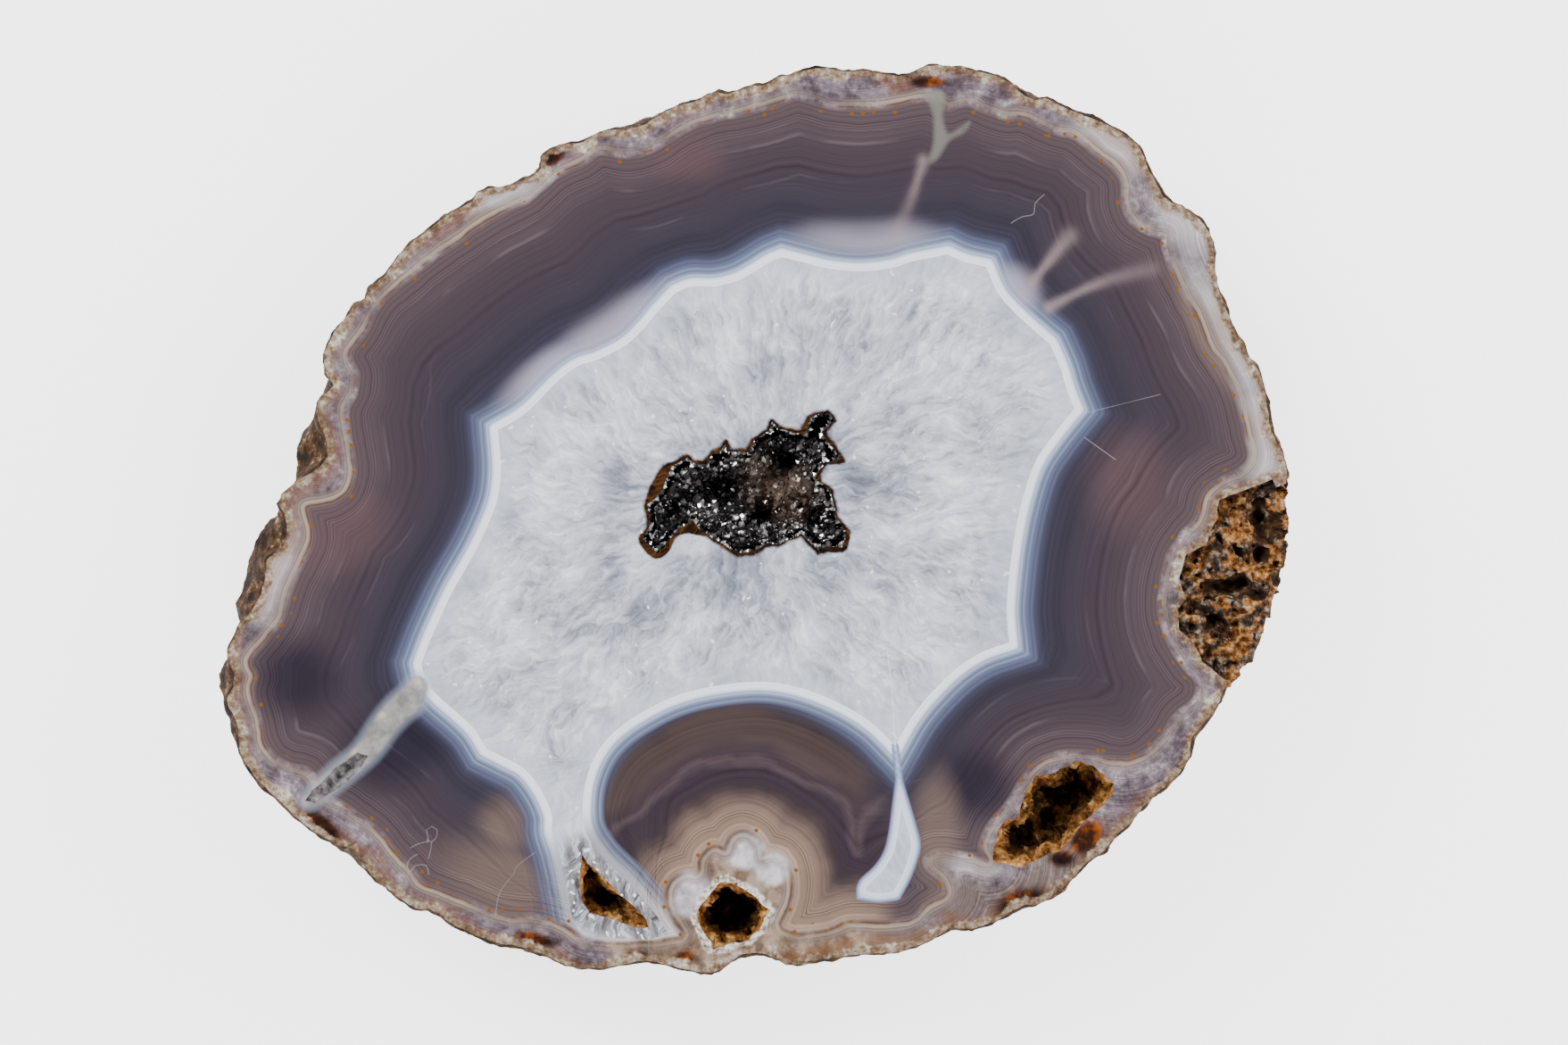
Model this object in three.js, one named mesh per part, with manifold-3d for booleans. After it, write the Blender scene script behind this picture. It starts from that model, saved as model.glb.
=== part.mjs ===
// Agate geode slice: a thick slab sawn from an agate nodule. It lies on its sawn back with the
// polished face up. A rough rind runs round it, the quartz core holds an open vug lined with dark
// crystals, and rusty hollows and a patch of spongy host rock reach the face near the rim.
import * as THREE from "three";
import { ImprovedNoise } from "three/addons/math/ImprovedNoise.js";
import { mergeVertices } from "three/addons/utils/BufferGeometryUtils.js";
import Module from "manifold-3d";

const wasm = await Module();
wasm.setup();

// Driving dimensions, in millimetres
const SLICE_WIDTH = 150;
const SLICE_THICKNESS = 21;
const VUG_DEPTH = 15;
const ROUND_PIT_DEPTH = 11;
const SLIT_PIT_DEPTH = 8;
const RUSTY_CAVITY_DEPTH = 10;
const VEIN_GROOVE_DEPTH = 1.8;
const HOST_ROCK_RECESS = 1.2;
const CRYSTAL_RADIUS = 0.9;
const CRYSTAL_SPACING = 2.6;

// The rind: how it stands round the polished face
const FACE_SETBACK = 0.007; // the face is this share narrower than the rind just below it
const BACK_TAPER = 0.035; // the sawn back is this share narrower than the rind
const RIND_ROUGHNESS = 1.5;
const RIND_LUMP_SIZE = 6;
const RIND_DEPTHS = [0, 0.9, 2.6, 5, 7.8, 10.8, 14, 17.4, SLICE_THICKNESS];
const RIND_SMOOTHING = 5; // below the face each place is averaged with this many on either side
const FLARE_DEPTH = 5; // the flared stretch of rind is at its widest this far below the face
const RIND_POINTS = 280;

// Fits and overlaps
const CRUST_GAP = 0.3; // between the crystal crust and the floor of the vug
const CUT_CLEARANCE = 2; // a cutting solid stands this far proud of the face
const RELIEF_CELL = 1.2; // grid spacing of a rough floor

// Outlines are read in picture points: x to the right, y down, over the face seen squarely
const PICTURE_LEFT = 236;
const PICTURE_RIGHT = 1447;
const PICTURE_TOP = 70;
const PICTURE_BOTTOM = 1094;
const MM_PER_POINT = SLICE_WIDTH / (PICTURE_RIGHT - PICTURE_LEFT);

const RIND_OUTLINE = [
  [362, 418], [360, 397], [372, 369], [385, 354], [394, 339], [407, 332], [409, 321], [426, 309],
  [441, 288], [460, 268], [485, 249], [513, 231], [531, 221], [533, 213], [543, 209], [562, 207],
  [584, 199], [597, 194], [605, 183], [603, 173], [624, 161], [654, 156], [672, 143], [705, 142],
  [728, 133], [748, 119], [782, 109], [804, 99], [819, 101], [838, 93], [856, 93], [874, 83],
  [915, 73], [951, 78], [971, 76], [1017, 81], [1028, 75], [1047, 70], [1100, 77], [1130, 88],
  [1155, 105], [1169, 109], [1177, 105], [1188, 114], [1227, 130], [1264, 150], [1279, 162],
  [1293, 193], [1309, 221], [1328, 229], [1353, 250], [1361, 265], [1367, 316], [1380, 351],
  [1401, 395], [1413, 414], [1426, 459], [1428, 482], [1447, 525], [1442, 561], [1447, 584],
  [1445, 628], [1432, 666], [1423, 699], [1417, 717], [1401, 736], [1397, 749], [1383, 759],
  [1367, 793], [1339, 831], [1338, 848], [1314, 879], [1289, 900], [1273, 921], [1248, 943],
  [1246, 951], [1220, 969], [1199, 993], [1169, 1014], [1143, 1019], [1120, 1035], [1086, 1045],
  [1067, 1041], [1055, 1052], [1018, 1066], [980, 1072], [905, 1079], [882, 1084], [855, 1072],
  [826, 1075], [807, 1091], [793, 1094], [752, 1085], [723, 1081], [679, 1087], [635, 1086],
  [604, 1072], [582, 1063], [554, 1060], [514, 1044], [478, 1022], [464, 1022], [433, 999],
  [411, 981], [398, 960], [366, 943], [343, 930], [301, 892], [280, 870], [266, 845], [261, 808],
  [251, 787], [259, 764], [252, 739], [258, 713], [285, 672], [293, 645], [296, 624], [313, 615],
  [318, 596], [314, 571], [308, 560], [330, 537], [362, 516], [360, 486], [350, 453], [370, 430],
];

// The flared stretch of rind on the left: [height in the picture, width outside the face]
const RIND_FLARE = [
  [420, 0], [455, 8], [485, 26], [505, 30], [535, 8], [562, 4], [590, 20], [620, 30], [650, 25],
  [680, 28], [705, 8], [735, 12], [765, 23], [800, 17], [835, 9], [880, 0],
];
const FLARE_RIGHT_LIMIT = 420;

const VUG_OUTLINE = [
  [770, 513], [778, 520], [793, 520], [798, 508], [805, 508], [814, 495], [814, 505], [838, 507],
  [846, 492], [862, 483], [865, 472], [872, 480], [901, 487], [908, 467], [927, 461], [935, 471],
  [920, 485], [943, 516], [924, 517], [913, 536], [930, 550], [938, 580], [949, 597], [944, 614],
  [926, 612], [919, 618], [898, 598], [872, 610], [860, 608], [846, 618], [827, 620], [807, 608],
  [784, 594], [776, 583], [760, 593], [743, 614], [736, 621], [719, 603], [728, 590], [725, 566],
  [741, 550], [753, 523],
];
const CRUST_OUTLINE = [
  [766, 523], [780, 527], [800, 521], [812, 513], [842, 513], [852, 496], [870, 488], [903, 494],
  [914, 489], [928, 512], [918, 514], [907, 537], [924, 552], [932, 580], [940, 599], [937, 604],
  [920, 606], [897, 591], [871, 603], [846, 610], [827, 613], [810, 603], [788, 589], [776, 577],
  [758, 586], [736, 610], [727, 601], [735, 591], [732, 568], [746, 554],
];
// Deep gaps in the crust: [x, y, radius]
const CRUST_GAPS = [[798, 543, 24], [853, 578, 20], [876, 506, 22], [921, 584, 15]];
const CRUST_GAP_DEPTH = 5;
const CRUST_RIDGE = [878, 550, 34]; // the pale ridge that rises in the middle of the vug

const ROUND_PIT_OUTLINE = [
  [797, 998], [808, 988], [820, 989], [843, 1003], [861, 1020], [855, 1034], [839, 1054],
  [823, 1057], [799, 1063], [786, 1041], [779, 1029], [783, 1020],
];
const SLIT_PIT_OUTLINE = [
  [653, 959], [673, 982], [708, 1015], [725, 1029], [729, 1040], [703, 1037], [660, 1022],
  [651, 1012], [650, 974],
];
const RUSTY_CAVITY_OUTLINE = [
  [1192, 859], [1211, 853], [1225, 857], [1248, 878], [1247, 892], [1225, 913], [1199, 943],
  [1189, 953], [1143, 971], [1113, 964], [1111, 950], [1122, 923], [1139, 915], [1150, 887],
  [1160, 869], [1179, 868],
];
const VEIN_GROOVE_OUTLINE = [
  [412, 847], [405, 860], [385, 880], [352, 900], [342, 897], [350, 886], [375, 862], [400, 843],
];
const HOST_ROCK_OUTLINE = [
  [1366, 560], [1398, 548], [1426, 537], [1430, 546], [1470, 530], [1470, 640], [1440, 720],
  [1400, 775], [1378, 765], [1348, 741], [1339, 722], [1321, 706], [1320, 682], [1328, 671],
  [1321, 648], [1329, 622], [1352, 610], [1362, 581],
];
// Pits in the host rock: [x, y, half width, half height, depth in millimetres]
const HOST_ROCK_PITS = [
  [1413, 578, 14, 19, 3.5], [1362, 691, 16, 14, 2.5], [1378, 658, 26, 9, 3.2], [1385, 616, 10, 8, 2.2],
];

const perlin = new ImprovedNoise();
const { clamp, lerp, smoothstep } = THREE.MathUtils;

// A value from -1 to 1 that rises and falls smoothly, with lumps about as wide as the given size
function lumps(x, y, z, size) {
  return perlin.noise(x / size, y / size, z / size);
}

function toMillimetres([x, y]) {
  const centreX = (PICTURE_LEFT + PICTURE_RIGHT) / 2;
  const centreY = (PICTURE_TOP + PICTURE_BOTTOM) / 2;
  return new THREE.Vector2((x - centreX) * MM_PER_POINT, (centreY - y) * MM_PER_POINT);
}

// An outline in millimetres, running anticlockwise seen from above
function outlineOf(picturePoints) {
  const outline = picturePoints.map(toMillimetres);
  return THREE.ShapeUtils.isClockWise(outline) ? outline.reverse() : outline;
}

function distanceToOutline(outline, x, y) {
  const point = new THREE.Vector3(x, y, 0);
  const nearest = new THREE.Vector3();
  const side = new THREE.Line3();
  let distance = Infinity;
  outline.forEach((corner, i) => {
    const next = outline[(i + 1) % outline.length];
    side.start.set(corner.x, corner.y, 0);
    side.end.set(next.x, next.y, 0);
    side.closestPointToPoint(point, true, nearest);
    distance = Math.min(distance, nearest.distanceTo(point));
  });
  return distance;
}

function isInside(outline, x, y) {
  let inside = false;
  outline.forEach((a, i) => {
    const b = outline[(i + 1) % outline.length];
    if (a.y > y !== b.y > y && x < a.x + ((b.x - a.x) * (y - a.y)) / (b.y - a.y)) {
      inside = !inside;
    }
  });
  return inside;
}

// How deep inside a round or oval spot a place is: 1 at its centre, 0 at its edge and outside
function spot(x, y, centre, halfWidth, halfHeight) {
  const reach = Math.hypot((x - centre.x) / halfWidth, (y - centre.y) / halfHeight);
  return 1 - smoothstep(reach, 0, 1);
}

function toSolid(geometry) {
  const bare = geometry.clone();
  bare.deleteAttribute("normal");
  bare.deleteAttribute("uv");
  const merged = mergeVertices(bare, 1e-5);
  return new wasm.Manifold(
    new wasm.Mesh({
      numProp: 3,
      vertProperties: new Float32Array(merged.attributes.position.array),
      triVerts: new Uint32Array(merged.index.array),
    }),
  );
}

function toGeometry(solid) {
  const mesh = solid.getMesh();
  const geometry = new THREE.BufferGeometry();
  geometry.setAttribute("position", new THREE.BufferAttribute(mesh.vertProperties, mesh.numProp));
  geometry.setIndex(new THREE.BufferAttribute(mesh.triVerts, 1));
  geometry.computeVertexNormals();
  return geometry;
}

function prism(outline, bottom, top) {
  const geometry = new THREE.ExtrudeGeometry(new THREE.Shape(outline), {
    depth: top - bottom,
    bevelEnabled: false,
  });
  return toSolid(geometry.translate(0, 0, bottom));
}

// A block over the outline's box whose top or bottom is shaped by a height at each place
function reliefBlock(outline, flatSide, heightAt) {
  const box = new THREE.Box2().setFromPoints(outline).expandByScalar(RELIEF_CELL);
  const size = box.getSize(new THREE.Vector2());
  const centre = box.getCenter(new THREE.Vector2());
  const columns = Math.ceil(size.x / RELIEF_CELL);
  const rows = Math.ceil(size.y / RELIEF_CELL);
  const geometry = new THREE.BoxGeometry(size.x, size.y, 2, columns, rows, 1);
  geometry.translate(centre.x, centre.y, 0);
  const place = geometry.attributes.position;
  const shapedSign = flatSide === "top" ? -1 : 1;
  const flatHeight = flatSide === "top" ? SLICE_THICKNESS + CUT_CLEARANCE : 0;
  for (let i = 0; i < place.count; i += 1) {
    const shaped = Math.sign(place.getZ(i)) === shapedSign;
    place.setZ(i, shaped ? heightAt(place.getX(i), place.getY(i)) : flatHeight);
  }
  return toSolid(geometry);
}

// What is cut away for a hollow in the face, with its own floor depth at each place
function hollow(outline, depthAt) {
  const shaft = prism(outline, -CUT_CLEARANCE, SLICE_THICKNESS + CUT_CLEARANCE / 2);
  const floor = reliefBlock(outline, "top", (x, y) => SLICE_THICKNESS - depthAt(x, y));
  return shaft.intersect(floor);
}

// A hollow with sloping, lumpy walls
function pit(picturePoints, depth, wallWidth, roughness) {
  const outline = outlineOf(picturePoints);
  const depthAt = (x, y) => {
    const inward = isInside(outline, x, y) ? distanceToOutline(outline, x, y) : 0;
    const bowl = depth * lerp(0.25, 1, smoothstep(inward, 0, wallWidth));
    return Math.max(0.6, bowl + roughness * lumps(x, y, depth, 2.6));
  };
  return hollow(outline, depthAt);
}

// Width of the flared rind at a place on the outline
function rindFlare(point) {
  const pictureX = point.x / MM_PER_POINT + (PICTURE_LEFT + PICTURE_RIGHT) / 2;
  const pictureY = (PICTURE_TOP + PICTURE_BOTTOM) / 2 - point.y / MM_PER_POINT;
  if (pictureX > FLARE_RIGHT_LIMIT) {
    return 0;
  }
  const next = RIND_FLARE.findIndex(([height]) => height > pictureY);
  if (next < 1) {
    return 0;
  }
  const [heightA, widthA] = RIND_FLARE[next - 1];
  const [heightB, widthB] = RIND_FLARE[next];
  return lerp(widthA, widthB, (pictureY - heightA) / (heightB - heightA)) * MM_PER_POINT;
}

// The outline without its small notches, which don't run down the whole height of the rind
function smoothed(outline) {
  return outline.map((_, i) => {
    const sum = new THREE.Vector3();
    for (let step = -RIND_SMOOTHING; step <= RIND_SMOOTHING; step += 1) {
      sum.add(outline.at((i + step) % outline.length));
    }
    return sum.divideScalar(2 * RIND_SMOOTHING + 1);
  });
}

// One level of the rind, as a ring of places at a depth below the face
function rindRing(outline, softOutline, depth) {
  const below = smoothstep(depth, 0, FLARE_DEPTH);
  const taper = FACE_SETBACK * below + BACK_TAPER * (depth / SLICE_THICKNESS) ** 2;
  const scale = 1 - (depth === 0 ? FACE_SETBACK : taper);
  const rough = RIND_ROUGHNESS * clamp(depth / FLARE_DEPTH, 0.2, 1);
  return outline.map((point, i) => {
    const { x, y } = point.clone().lerp(softOutline[i], below);
    const shiftX = rough * lumps(x, y, depth, RIND_LUMP_SIZE);
    const shiftY = rough * lumps(y, depth, x, RIND_LUMP_SIZE);
    const flaredX = x * scale + shiftX - rindFlare(point) * below;
    return new THREE.Vector3(flaredX, y * scale + shiftY, SLICE_THICKNESS - depth);
  });
}

// A closed body through rings of places, listed from the top ring down
function loft(rings) {
  const count = rings[0].length;
  const places = rings.flatMap((ring) => ring.flatMap((place) => place.toArray()));
  const triangles = [];
  for (let level = 0; level < rings.length - 1; level += 1) {
    for (let i = 0; i < count; i += 1) {
      const above = level * count + i;
      const aboveNext = level * count + ((i + 1) % count);
      triangles.push(above, above + count, aboveNext, aboveNext, above + count, aboveNext + count);
    }
  }
  const last = (rings.length - 1) * count;
  for (const [a, b, c] of THREE.ShapeUtils.triangulateShape(rings[0], [])) {
    triangles.push(a, b, c);
  }
  for (const [a, b, c] of THREE.ShapeUtils.triangulateShape(rings.at(-1), [])) {
    triangles.push(last + c, last + b, last + a);
  }
  const geometry = new THREE.BufferGeometry();
  geometry.setAttribute("position", new THREE.Float32BufferAttribute(places, 3));
  geometry.setIndex(triangles);
  return toSolid(geometry);
}

function slab() {
  const corners = outlineOf(RIND_OUTLINE).map((point) => new THREE.Vector3(point.x, point.y, 0));
  const curve = new THREE.CatmullRomCurve3(corners, true, "centripetal");
  const outline = curve.getSpacedPoints(RIND_POINTS).slice(0, RIND_POINTS);
  const softOutline = smoothed(outline);
  return loft(RIND_DEPTHS.map((depth) => rindRing(outline, softOutline, depth)));
}

function hostRockHollow() {
  const outline = outlineOf(HOST_ROCK_OUTLINE);
  const pits = HOST_ROCK_PITS.map(([x, y, halfWidth, halfHeight, depth]) => ({
    centre: toMillimetres([x, y]),
    halfWidth: halfWidth * MM_PER_POINT,
    halfHeight: halfHeight * MM_PER_POINT,
    depth,
  }));
  const depthAt = (x, y) => {
    const sponge = 0.7 * lumps(x, y, 4, 3.2) + 0.35 * lumps(x, y, 9, 1.5);
    const pitted = pits.map(
      (one) => one.depth * spot(x, y, one.centre, one.halfWidth, one.halfHeight),
    );
    return Math.max(0.2, HOST_ROCK_RECESS + sponge) + Math.max(...pitted);
  };
  return hollow(outline, depthAt);
}

function agateSlice() {
  const vug = prism(
    outlineOf(VUG_OUTLINE),
    SLICE_THICKNESS - VUG_DEPTH,
    SLICE_THICKNESS + CUT_CLEARANCE,
  );
  return [
    vug,
    pit(ROUND_PIT_OUTLINE, ROUND_PIT_DEPTH, 2.2, 1),
    pit(SLIT_PIT_OUTLINE, SLIT_PIT_DEPTH, 1.5, 0.8),
    pit(RUSTY_CAVITY_OUTLINE, RUSTY_CAVITY_DEPTH, 3.2, 2.4),
    pit(VEIN_GROOVE_OUTLINE, VEIN_GROOVE_DEPTH, 1, 0.5),
    hostRockHollow(),
  ].reduce((stone, cut) => stone.subtract(cut), slab());
}

// Height of the crystal crust above the sawn back: a bowl with a ridge and four deep gaps
function crustHeight(x, y) {
  const [ridgeX, ridgeY, ridgeRadius] = CRUST_RIDGE;
  const ridgeReach = ridgeRadius * MM_PER_POINT;
  const ridge = 2.4 * spot(x, y, toMillimetres([ridgeX, ridgeY]), ridgeReach, ridgeReach);
  const gaps = CRUST_GAPS.map(([gapX, gapY, radius]) => {
    const reach = radius * MM_PER_POINT * 1.25;
    return CRUST_GAP_DEPTH * spot(x, y, toMillimetres([gapX, gapY]), reach, reach);
  });
  const outline = outlineOf(CRUST_OUTLINE);
  const inward = isInside(outline, x, y) ? distanceToOutline(outline, x, y) : 0;
  const bowl = lerp(1.6, 8.2, smoothstep(inward, 0, 3.2));
  return SLICE_THICKNESS - bowl + ridge - Math.max(...gaps) + 0.5 * lumps(x, y, 2, 1.7);
}

// A six-sided crystal with a pointed end, standing on its base
function crystal(radius, length) {
  const profile = [
    new THREE.Vector2(0, 0),
    new THREE.Vector2(radius, 0),
    new THREE.Vector2(radius, length - 1.2 * radius),
    new THREE.Vector2(0, length),
  ];
  return new THREE.LatheGeometry(profile, 6).rotateX(Math.PI / 2);
}

function druseCrust() {
  const outline = outlineOf(CRUST_OUTLINE);
  const bottom = SLICE_THICKNESS - VUG_DEPTH + CRUST_GAP;
  const room = prism(outline, bottom, SLICE_THICKNESS - CRUST_GAP);
  const bed = reliefBlock(outline, "bottom", crustHeight);
  const box = new THREE.Box2().setFromPoints(outline);
  const spacing = CRYSTAL_SPACING;
  const random = THREE.MathUtils.seededRandom;
  random(11);
  let crust = bed;
  for (let y = box.min.y; y < box.max.y; y += spacing) {
    for (let x = box.min.x; x < box.max.x; x += spacing) {
      const footX = x + spacing * (random() - 0.5);
      const footY = y + spacing * (random() - 0.5);
      const radius = CRYSTAL_RADIUS * lerp(0.6, 1.2, random());
      const tilt = new THREE.Euler(random() - 0.5, random() - 0.5, Math.PI * random());
      if (isInside(outline, footX, footY)) {
        const rooted = 1.5;
        const shape = crystal(radius, rooted + lerp(0.7, 1.9, random()));
        shape.applyMatrix4(new THREE.Matrix4().makeRotationFromEuler(tilt));
        shape.translate(footX, footY, crustHeight(footX, footY) - rooted);
        crust = crust.add(toSolid(shape));
      }
    }
  }
  return crust.intersect(room);
}

function namedMesh(name, solid, colour, roughness, metalness) {
  const material = new THREE.MeshStandardMaterial({ color: colour, roughness, metalness });
  const mesh = new THREE.Mesh(toGeometry(solid), material);
  mesh.name = name;
  return mesh;
}

const slice = namedMesh("agate_slice", agateSlice(), "#8f8a94", 0.25, 0);
const crust = namedMesh("druse_crust", druseCrust(), "#3a3634", 0.35, 0);

// The origin is the middle of the sawn back
const extent = new THREE.Box3().setFromObject(slice);
const middle = extent.getCenter(new THREE.Vector3());
const agateGeodeSlice = new THREE.Group();
agateGeodeSlice.add(slice, crust);
agateGeodeSlice.position.set(-middle.x, -middle.y, -extent.min.z);

export default agateGeodeSlice;
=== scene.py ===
import math

import bpy
import numpy as np
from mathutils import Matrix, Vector, geometry, kdtree, noise


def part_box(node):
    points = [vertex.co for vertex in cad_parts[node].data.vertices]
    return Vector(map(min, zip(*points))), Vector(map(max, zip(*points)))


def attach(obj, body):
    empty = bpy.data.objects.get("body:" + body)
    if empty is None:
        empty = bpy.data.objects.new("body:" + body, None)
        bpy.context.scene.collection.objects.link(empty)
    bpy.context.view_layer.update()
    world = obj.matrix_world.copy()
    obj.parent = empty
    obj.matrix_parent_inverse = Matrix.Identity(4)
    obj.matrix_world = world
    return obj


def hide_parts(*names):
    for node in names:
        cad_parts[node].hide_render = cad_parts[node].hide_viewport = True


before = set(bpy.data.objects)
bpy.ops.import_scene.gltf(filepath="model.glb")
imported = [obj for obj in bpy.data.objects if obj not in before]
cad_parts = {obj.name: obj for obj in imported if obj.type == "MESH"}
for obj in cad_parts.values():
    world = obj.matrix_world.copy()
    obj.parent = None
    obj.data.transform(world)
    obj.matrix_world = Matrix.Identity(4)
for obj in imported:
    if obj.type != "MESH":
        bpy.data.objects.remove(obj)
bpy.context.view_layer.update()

# Driving values, in millimetres unless the name says otherwise
MM = 0.001
FACE_CELL = 0.52         # mesh spacing on the banded face
CORE_CELL = 0.85         # mesh spacing on the plainer quartz core
BACK_CELL = 1.7          # mesh spacing on the sawn back
RIND_CUTS = 2            # cuts along each edge of the rind and of the hollows
PORE_DEPTH = 1.6         # pores of the host rock
HOLLOW_DEPTH = 2.6       # larger hollows of the host rock
FLOOR_CRYSTALS = 3300    # a count, on the crust
WALL_CRYSTALS = 2000     # a count, on the walls of the vug
CAMERA_LENS = 100.0      # millimetres, a long lens looking straight down
SENSOR_WIDTH = 36.0

# The picture that the outlines are read from, in its own points: x to the right, y down
PICTURE_WIDTH = 1757
PICTURE_HEIGHT = 1171
CRUST_LEFT = 727         # the crust's own box in the picture ties its points to the frame
CRUST_RIGHT = 940
CRUST_TOP = 488

crust_low, crust_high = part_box("druse_crust")
slab_low, slab_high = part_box("agate_slice")
MM_PER_POINT = (crust_high.x - crust_low.x) / MM / (CRUST_RIGHT - CRUST_LEFT)
FACE_Z = slab_high.z / MM


def place(points):
    """Picture points as frame millimetres on the face."""
    points = np.asarray(points, float)
    x = crust_low.x / MM + (points[..., 0] - CRUST_LEFT) * MM_PER_POINT
    y = crust_high.y / MM - (points[..., 1] - CRUST_TOP) * MM_PER_POINT
    return np.stack([x, y], -1)


# Outlines on the face, clockwise in picture points

# The edge of the quartz core: smooth strokes that meet in the cusps between the agate's lobes
CORE_STROKES = [
    [(558, 482), (590, 462), (625, 427), (648, 410), (672, 402), (702, 386), (722, 367), (738, 348),
     (757, 328)],
    [(757, 328), (775, 321), (800, 321), (825, 315), (846, 304), (862, 294), (876, 288)],
    [(876, 288), (900, 294), (930, 301), (965, 304), (1000, 300), (1022, 293), (1062, 285)],
    [(1062, 285), (1080, 293), (1105, 299)],
    [(1105, 299), (1118, 328), (1135, 348), (1155, 367), (1176, 385)],
    [(1176, 385), (1188, 412), (1195, 435), (1204, 458)],
    [(1204, 458), (1180, 488), (1160, 518), (1147, 555), (1137, 600), (1131, 645), (1128, 685),
     (1131, 720)],
    [(1131, 720), (1100, 731), (1072, 749), (1045, 775), (1022, 803), (1003, 836)],
    [(1003, 836), (980, 813), (950, 793), (915, 777), (880, 767), (845, 764), (800, 769), (760, 779),
     (725, 795), (692, 817), (670, 842), (657, 873), (653, 905), (657, 932), (675, 960), (705, 990),
     (735, 1025), (749, 1047)],
    [(749, 1047), (720, 1053), (680, 1050), (652, 1046), (640, 1025)],
    [(640, 1025), (634, 990), (627, 958), (619, 932), (618, 912), (606, 885), (588, 862), (565, 849),
     (545, 839)],
    [(545, 839), (532, 818), (515, 801), (492, 781), (478, 764), (472, 744)],
    [(472, 744), (481, 720), (490, 699), (508, 661), (531, 621), (545, 592), (557, 560), (561, 525),
     (558, 482)],
]
# The pocket of quartz that hangs below the core
POCKET_STROKES = [
    [(1010, 905), (1006, 935), (1000, 958), (988, 977), (972, 992), (970, 999)],
    [(970, 999), (985, 1001), (1001, 999)],
    [(1001, 999), (1011, 980), (1019, 958), (1021, 945), (1016, 925), (1010, 905)],
]
POCKET_NECK = [(1003, 836), (1006, 860), (1009, 885), (1010, 905)]

# The cream band where the outer clear layer ends and the banded body begins
BED_LINE = [
    (345, 868), (322, 860), (305, 850), (293, 832), (288, 808), (279, 776), (283, 757), (277, 738),
    (302, 707), (314, 688), (322, 660), (338, 625), (347, 600), (340, 567), (365, 562), (384, 552),
    (393, 530), (390, 505), (385, 462), (394, 438), (396, 420), (388, 397), (405, 370), (425, 336),
    (455, 310), (480, 289), (515, 265), (548, 243), (590, 221), (620, 195), (655, 178), (672, 166),
    (705, 171), (735, 162), (765, 143), (800, 130), (840, 122), (880, 110), (895, 106), (940, 117),
    (985, 117), (1042, 108), (1062, 118), (1085, 114), (1125, 128), (1145, 128), (1180, 143),
    (1205, 150), (1230, 170), (1255, 190), (1262, 208), (1262, 228), (1270, 246), (1290, 258),
    (1306, 262), (1308, 275), (1316, 300), (1330, 328), (1345, 355), (1358, 388), (1378, 418),
    (1391, 448), (1398, 480), (1405, 512), (1392, 530), (1368, 541), (1352, 556), (1345, 580),
    (1330, 598), (1314, 622), (1305, 655), (1304, 685), (1312, 715), (1328, 742), (1345, 762),
    (1342, 785), (1320, 804), (1305, 828), (1286, 846), (1263, 855),
    (1240, 853), (1222, 848), (1192, 847), (1165, 857), (1146, 880), (1130, 905), (1112, 925),
    (1103, 950), (1110, 968), (1085, 962), (1050, 958), (1040, 968), (1058, 984), (1062, 1003),
    (1040, 1018), (1022, 1033), (990, 1037), (955, 1036), (925, 1045), (890, 1048), (872, 1038),
    (881, 1015), (884, 995), (883, 975), (875, 961), (862, 957), (853, 961), (850, 946), (836, 935),
    (821, 939), (813, 955), (800, 951), (788, 962), (784, 980), (769, 980), (754, 989), (749, 1005),
    (753, 1022), (762, 1035), (765, 1052), (700, 1060), (655, 1055), (632, 1040),
    (600, 1031), (558, 1027), (530, 1015), (490, 1000), (470, 990), (455, 972), (437, 952),
    (420, 932), (385, 906), (360, 893),
]

# The hollows
VUG_MIDDLE = (845, 552)
ROUND_PIT = [(797, 998), (808, 988), (820, 989), (843, 1003), (861, 1020), (855, 1034), (839, 1054),
             (823, 1057), (799, 1063), (786, 1041), (779, 1029), (783, 1020)]
SLIT_PIT = [(653, 959), (673, 982), (708, 1015), (725, 1029), (729, 1040), (703, 1037), (660, 1022),
            (651, 1012), (650, 974)]
RUSTY_CAVITY = [(1192, 859), (1211, 853), (1225, 857), (1248, 878), (1247, 892), (1225, 913),
                (1199, 943), (1189, 953), (1143, 971), (1113, 964), (1111, 950), (1122, 923),
                (1139, 915), (1150, 887), (1160, 869), (1179, 868)]
VEIN_GROOVE = [(412, 847), (405, 860), (385, 880), (352, 900), (342, 897), (350, 886), (375, 862),
               (400, 843)]
HOST_ROCK = [(1366, 560), (1398, 548), (1426, 537), (1430, 546), (1470, 530), (1470, 640), (1440, 720),
             (1400, 775), (1378, 765), (1348, 741), (1339, 722), (1321, 706), (1320, 682), (1328, 671),
             (1321, 648), (1329, 622), (1352, 610), (1362, 581)]
VUG = [(770, 513), (778, 520), (793, 520), (798, 508), (805, 508), (814, 495), (814, 505), (838, 507),
       (846, 492), (862, 483), (865, 472), (872, 480), (901, 487), (908, 467), (927, 461), (935, 471),
       (920, 485), (943, 516), (924, 517), (913, 536), (930, 550), (938, 580), (949, 597), (944, 614),
       (926, 612), (919, 618), (898, 598), (872, 610), (860, 608), (846, 618), (827, 620), (807, 608),
       (784, 594), (776, 583), (760, 593), (743, 614), (736, 621), (719, 603), (728, 590), (725, 566),
       (741, 550), (753, 523)]

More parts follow.
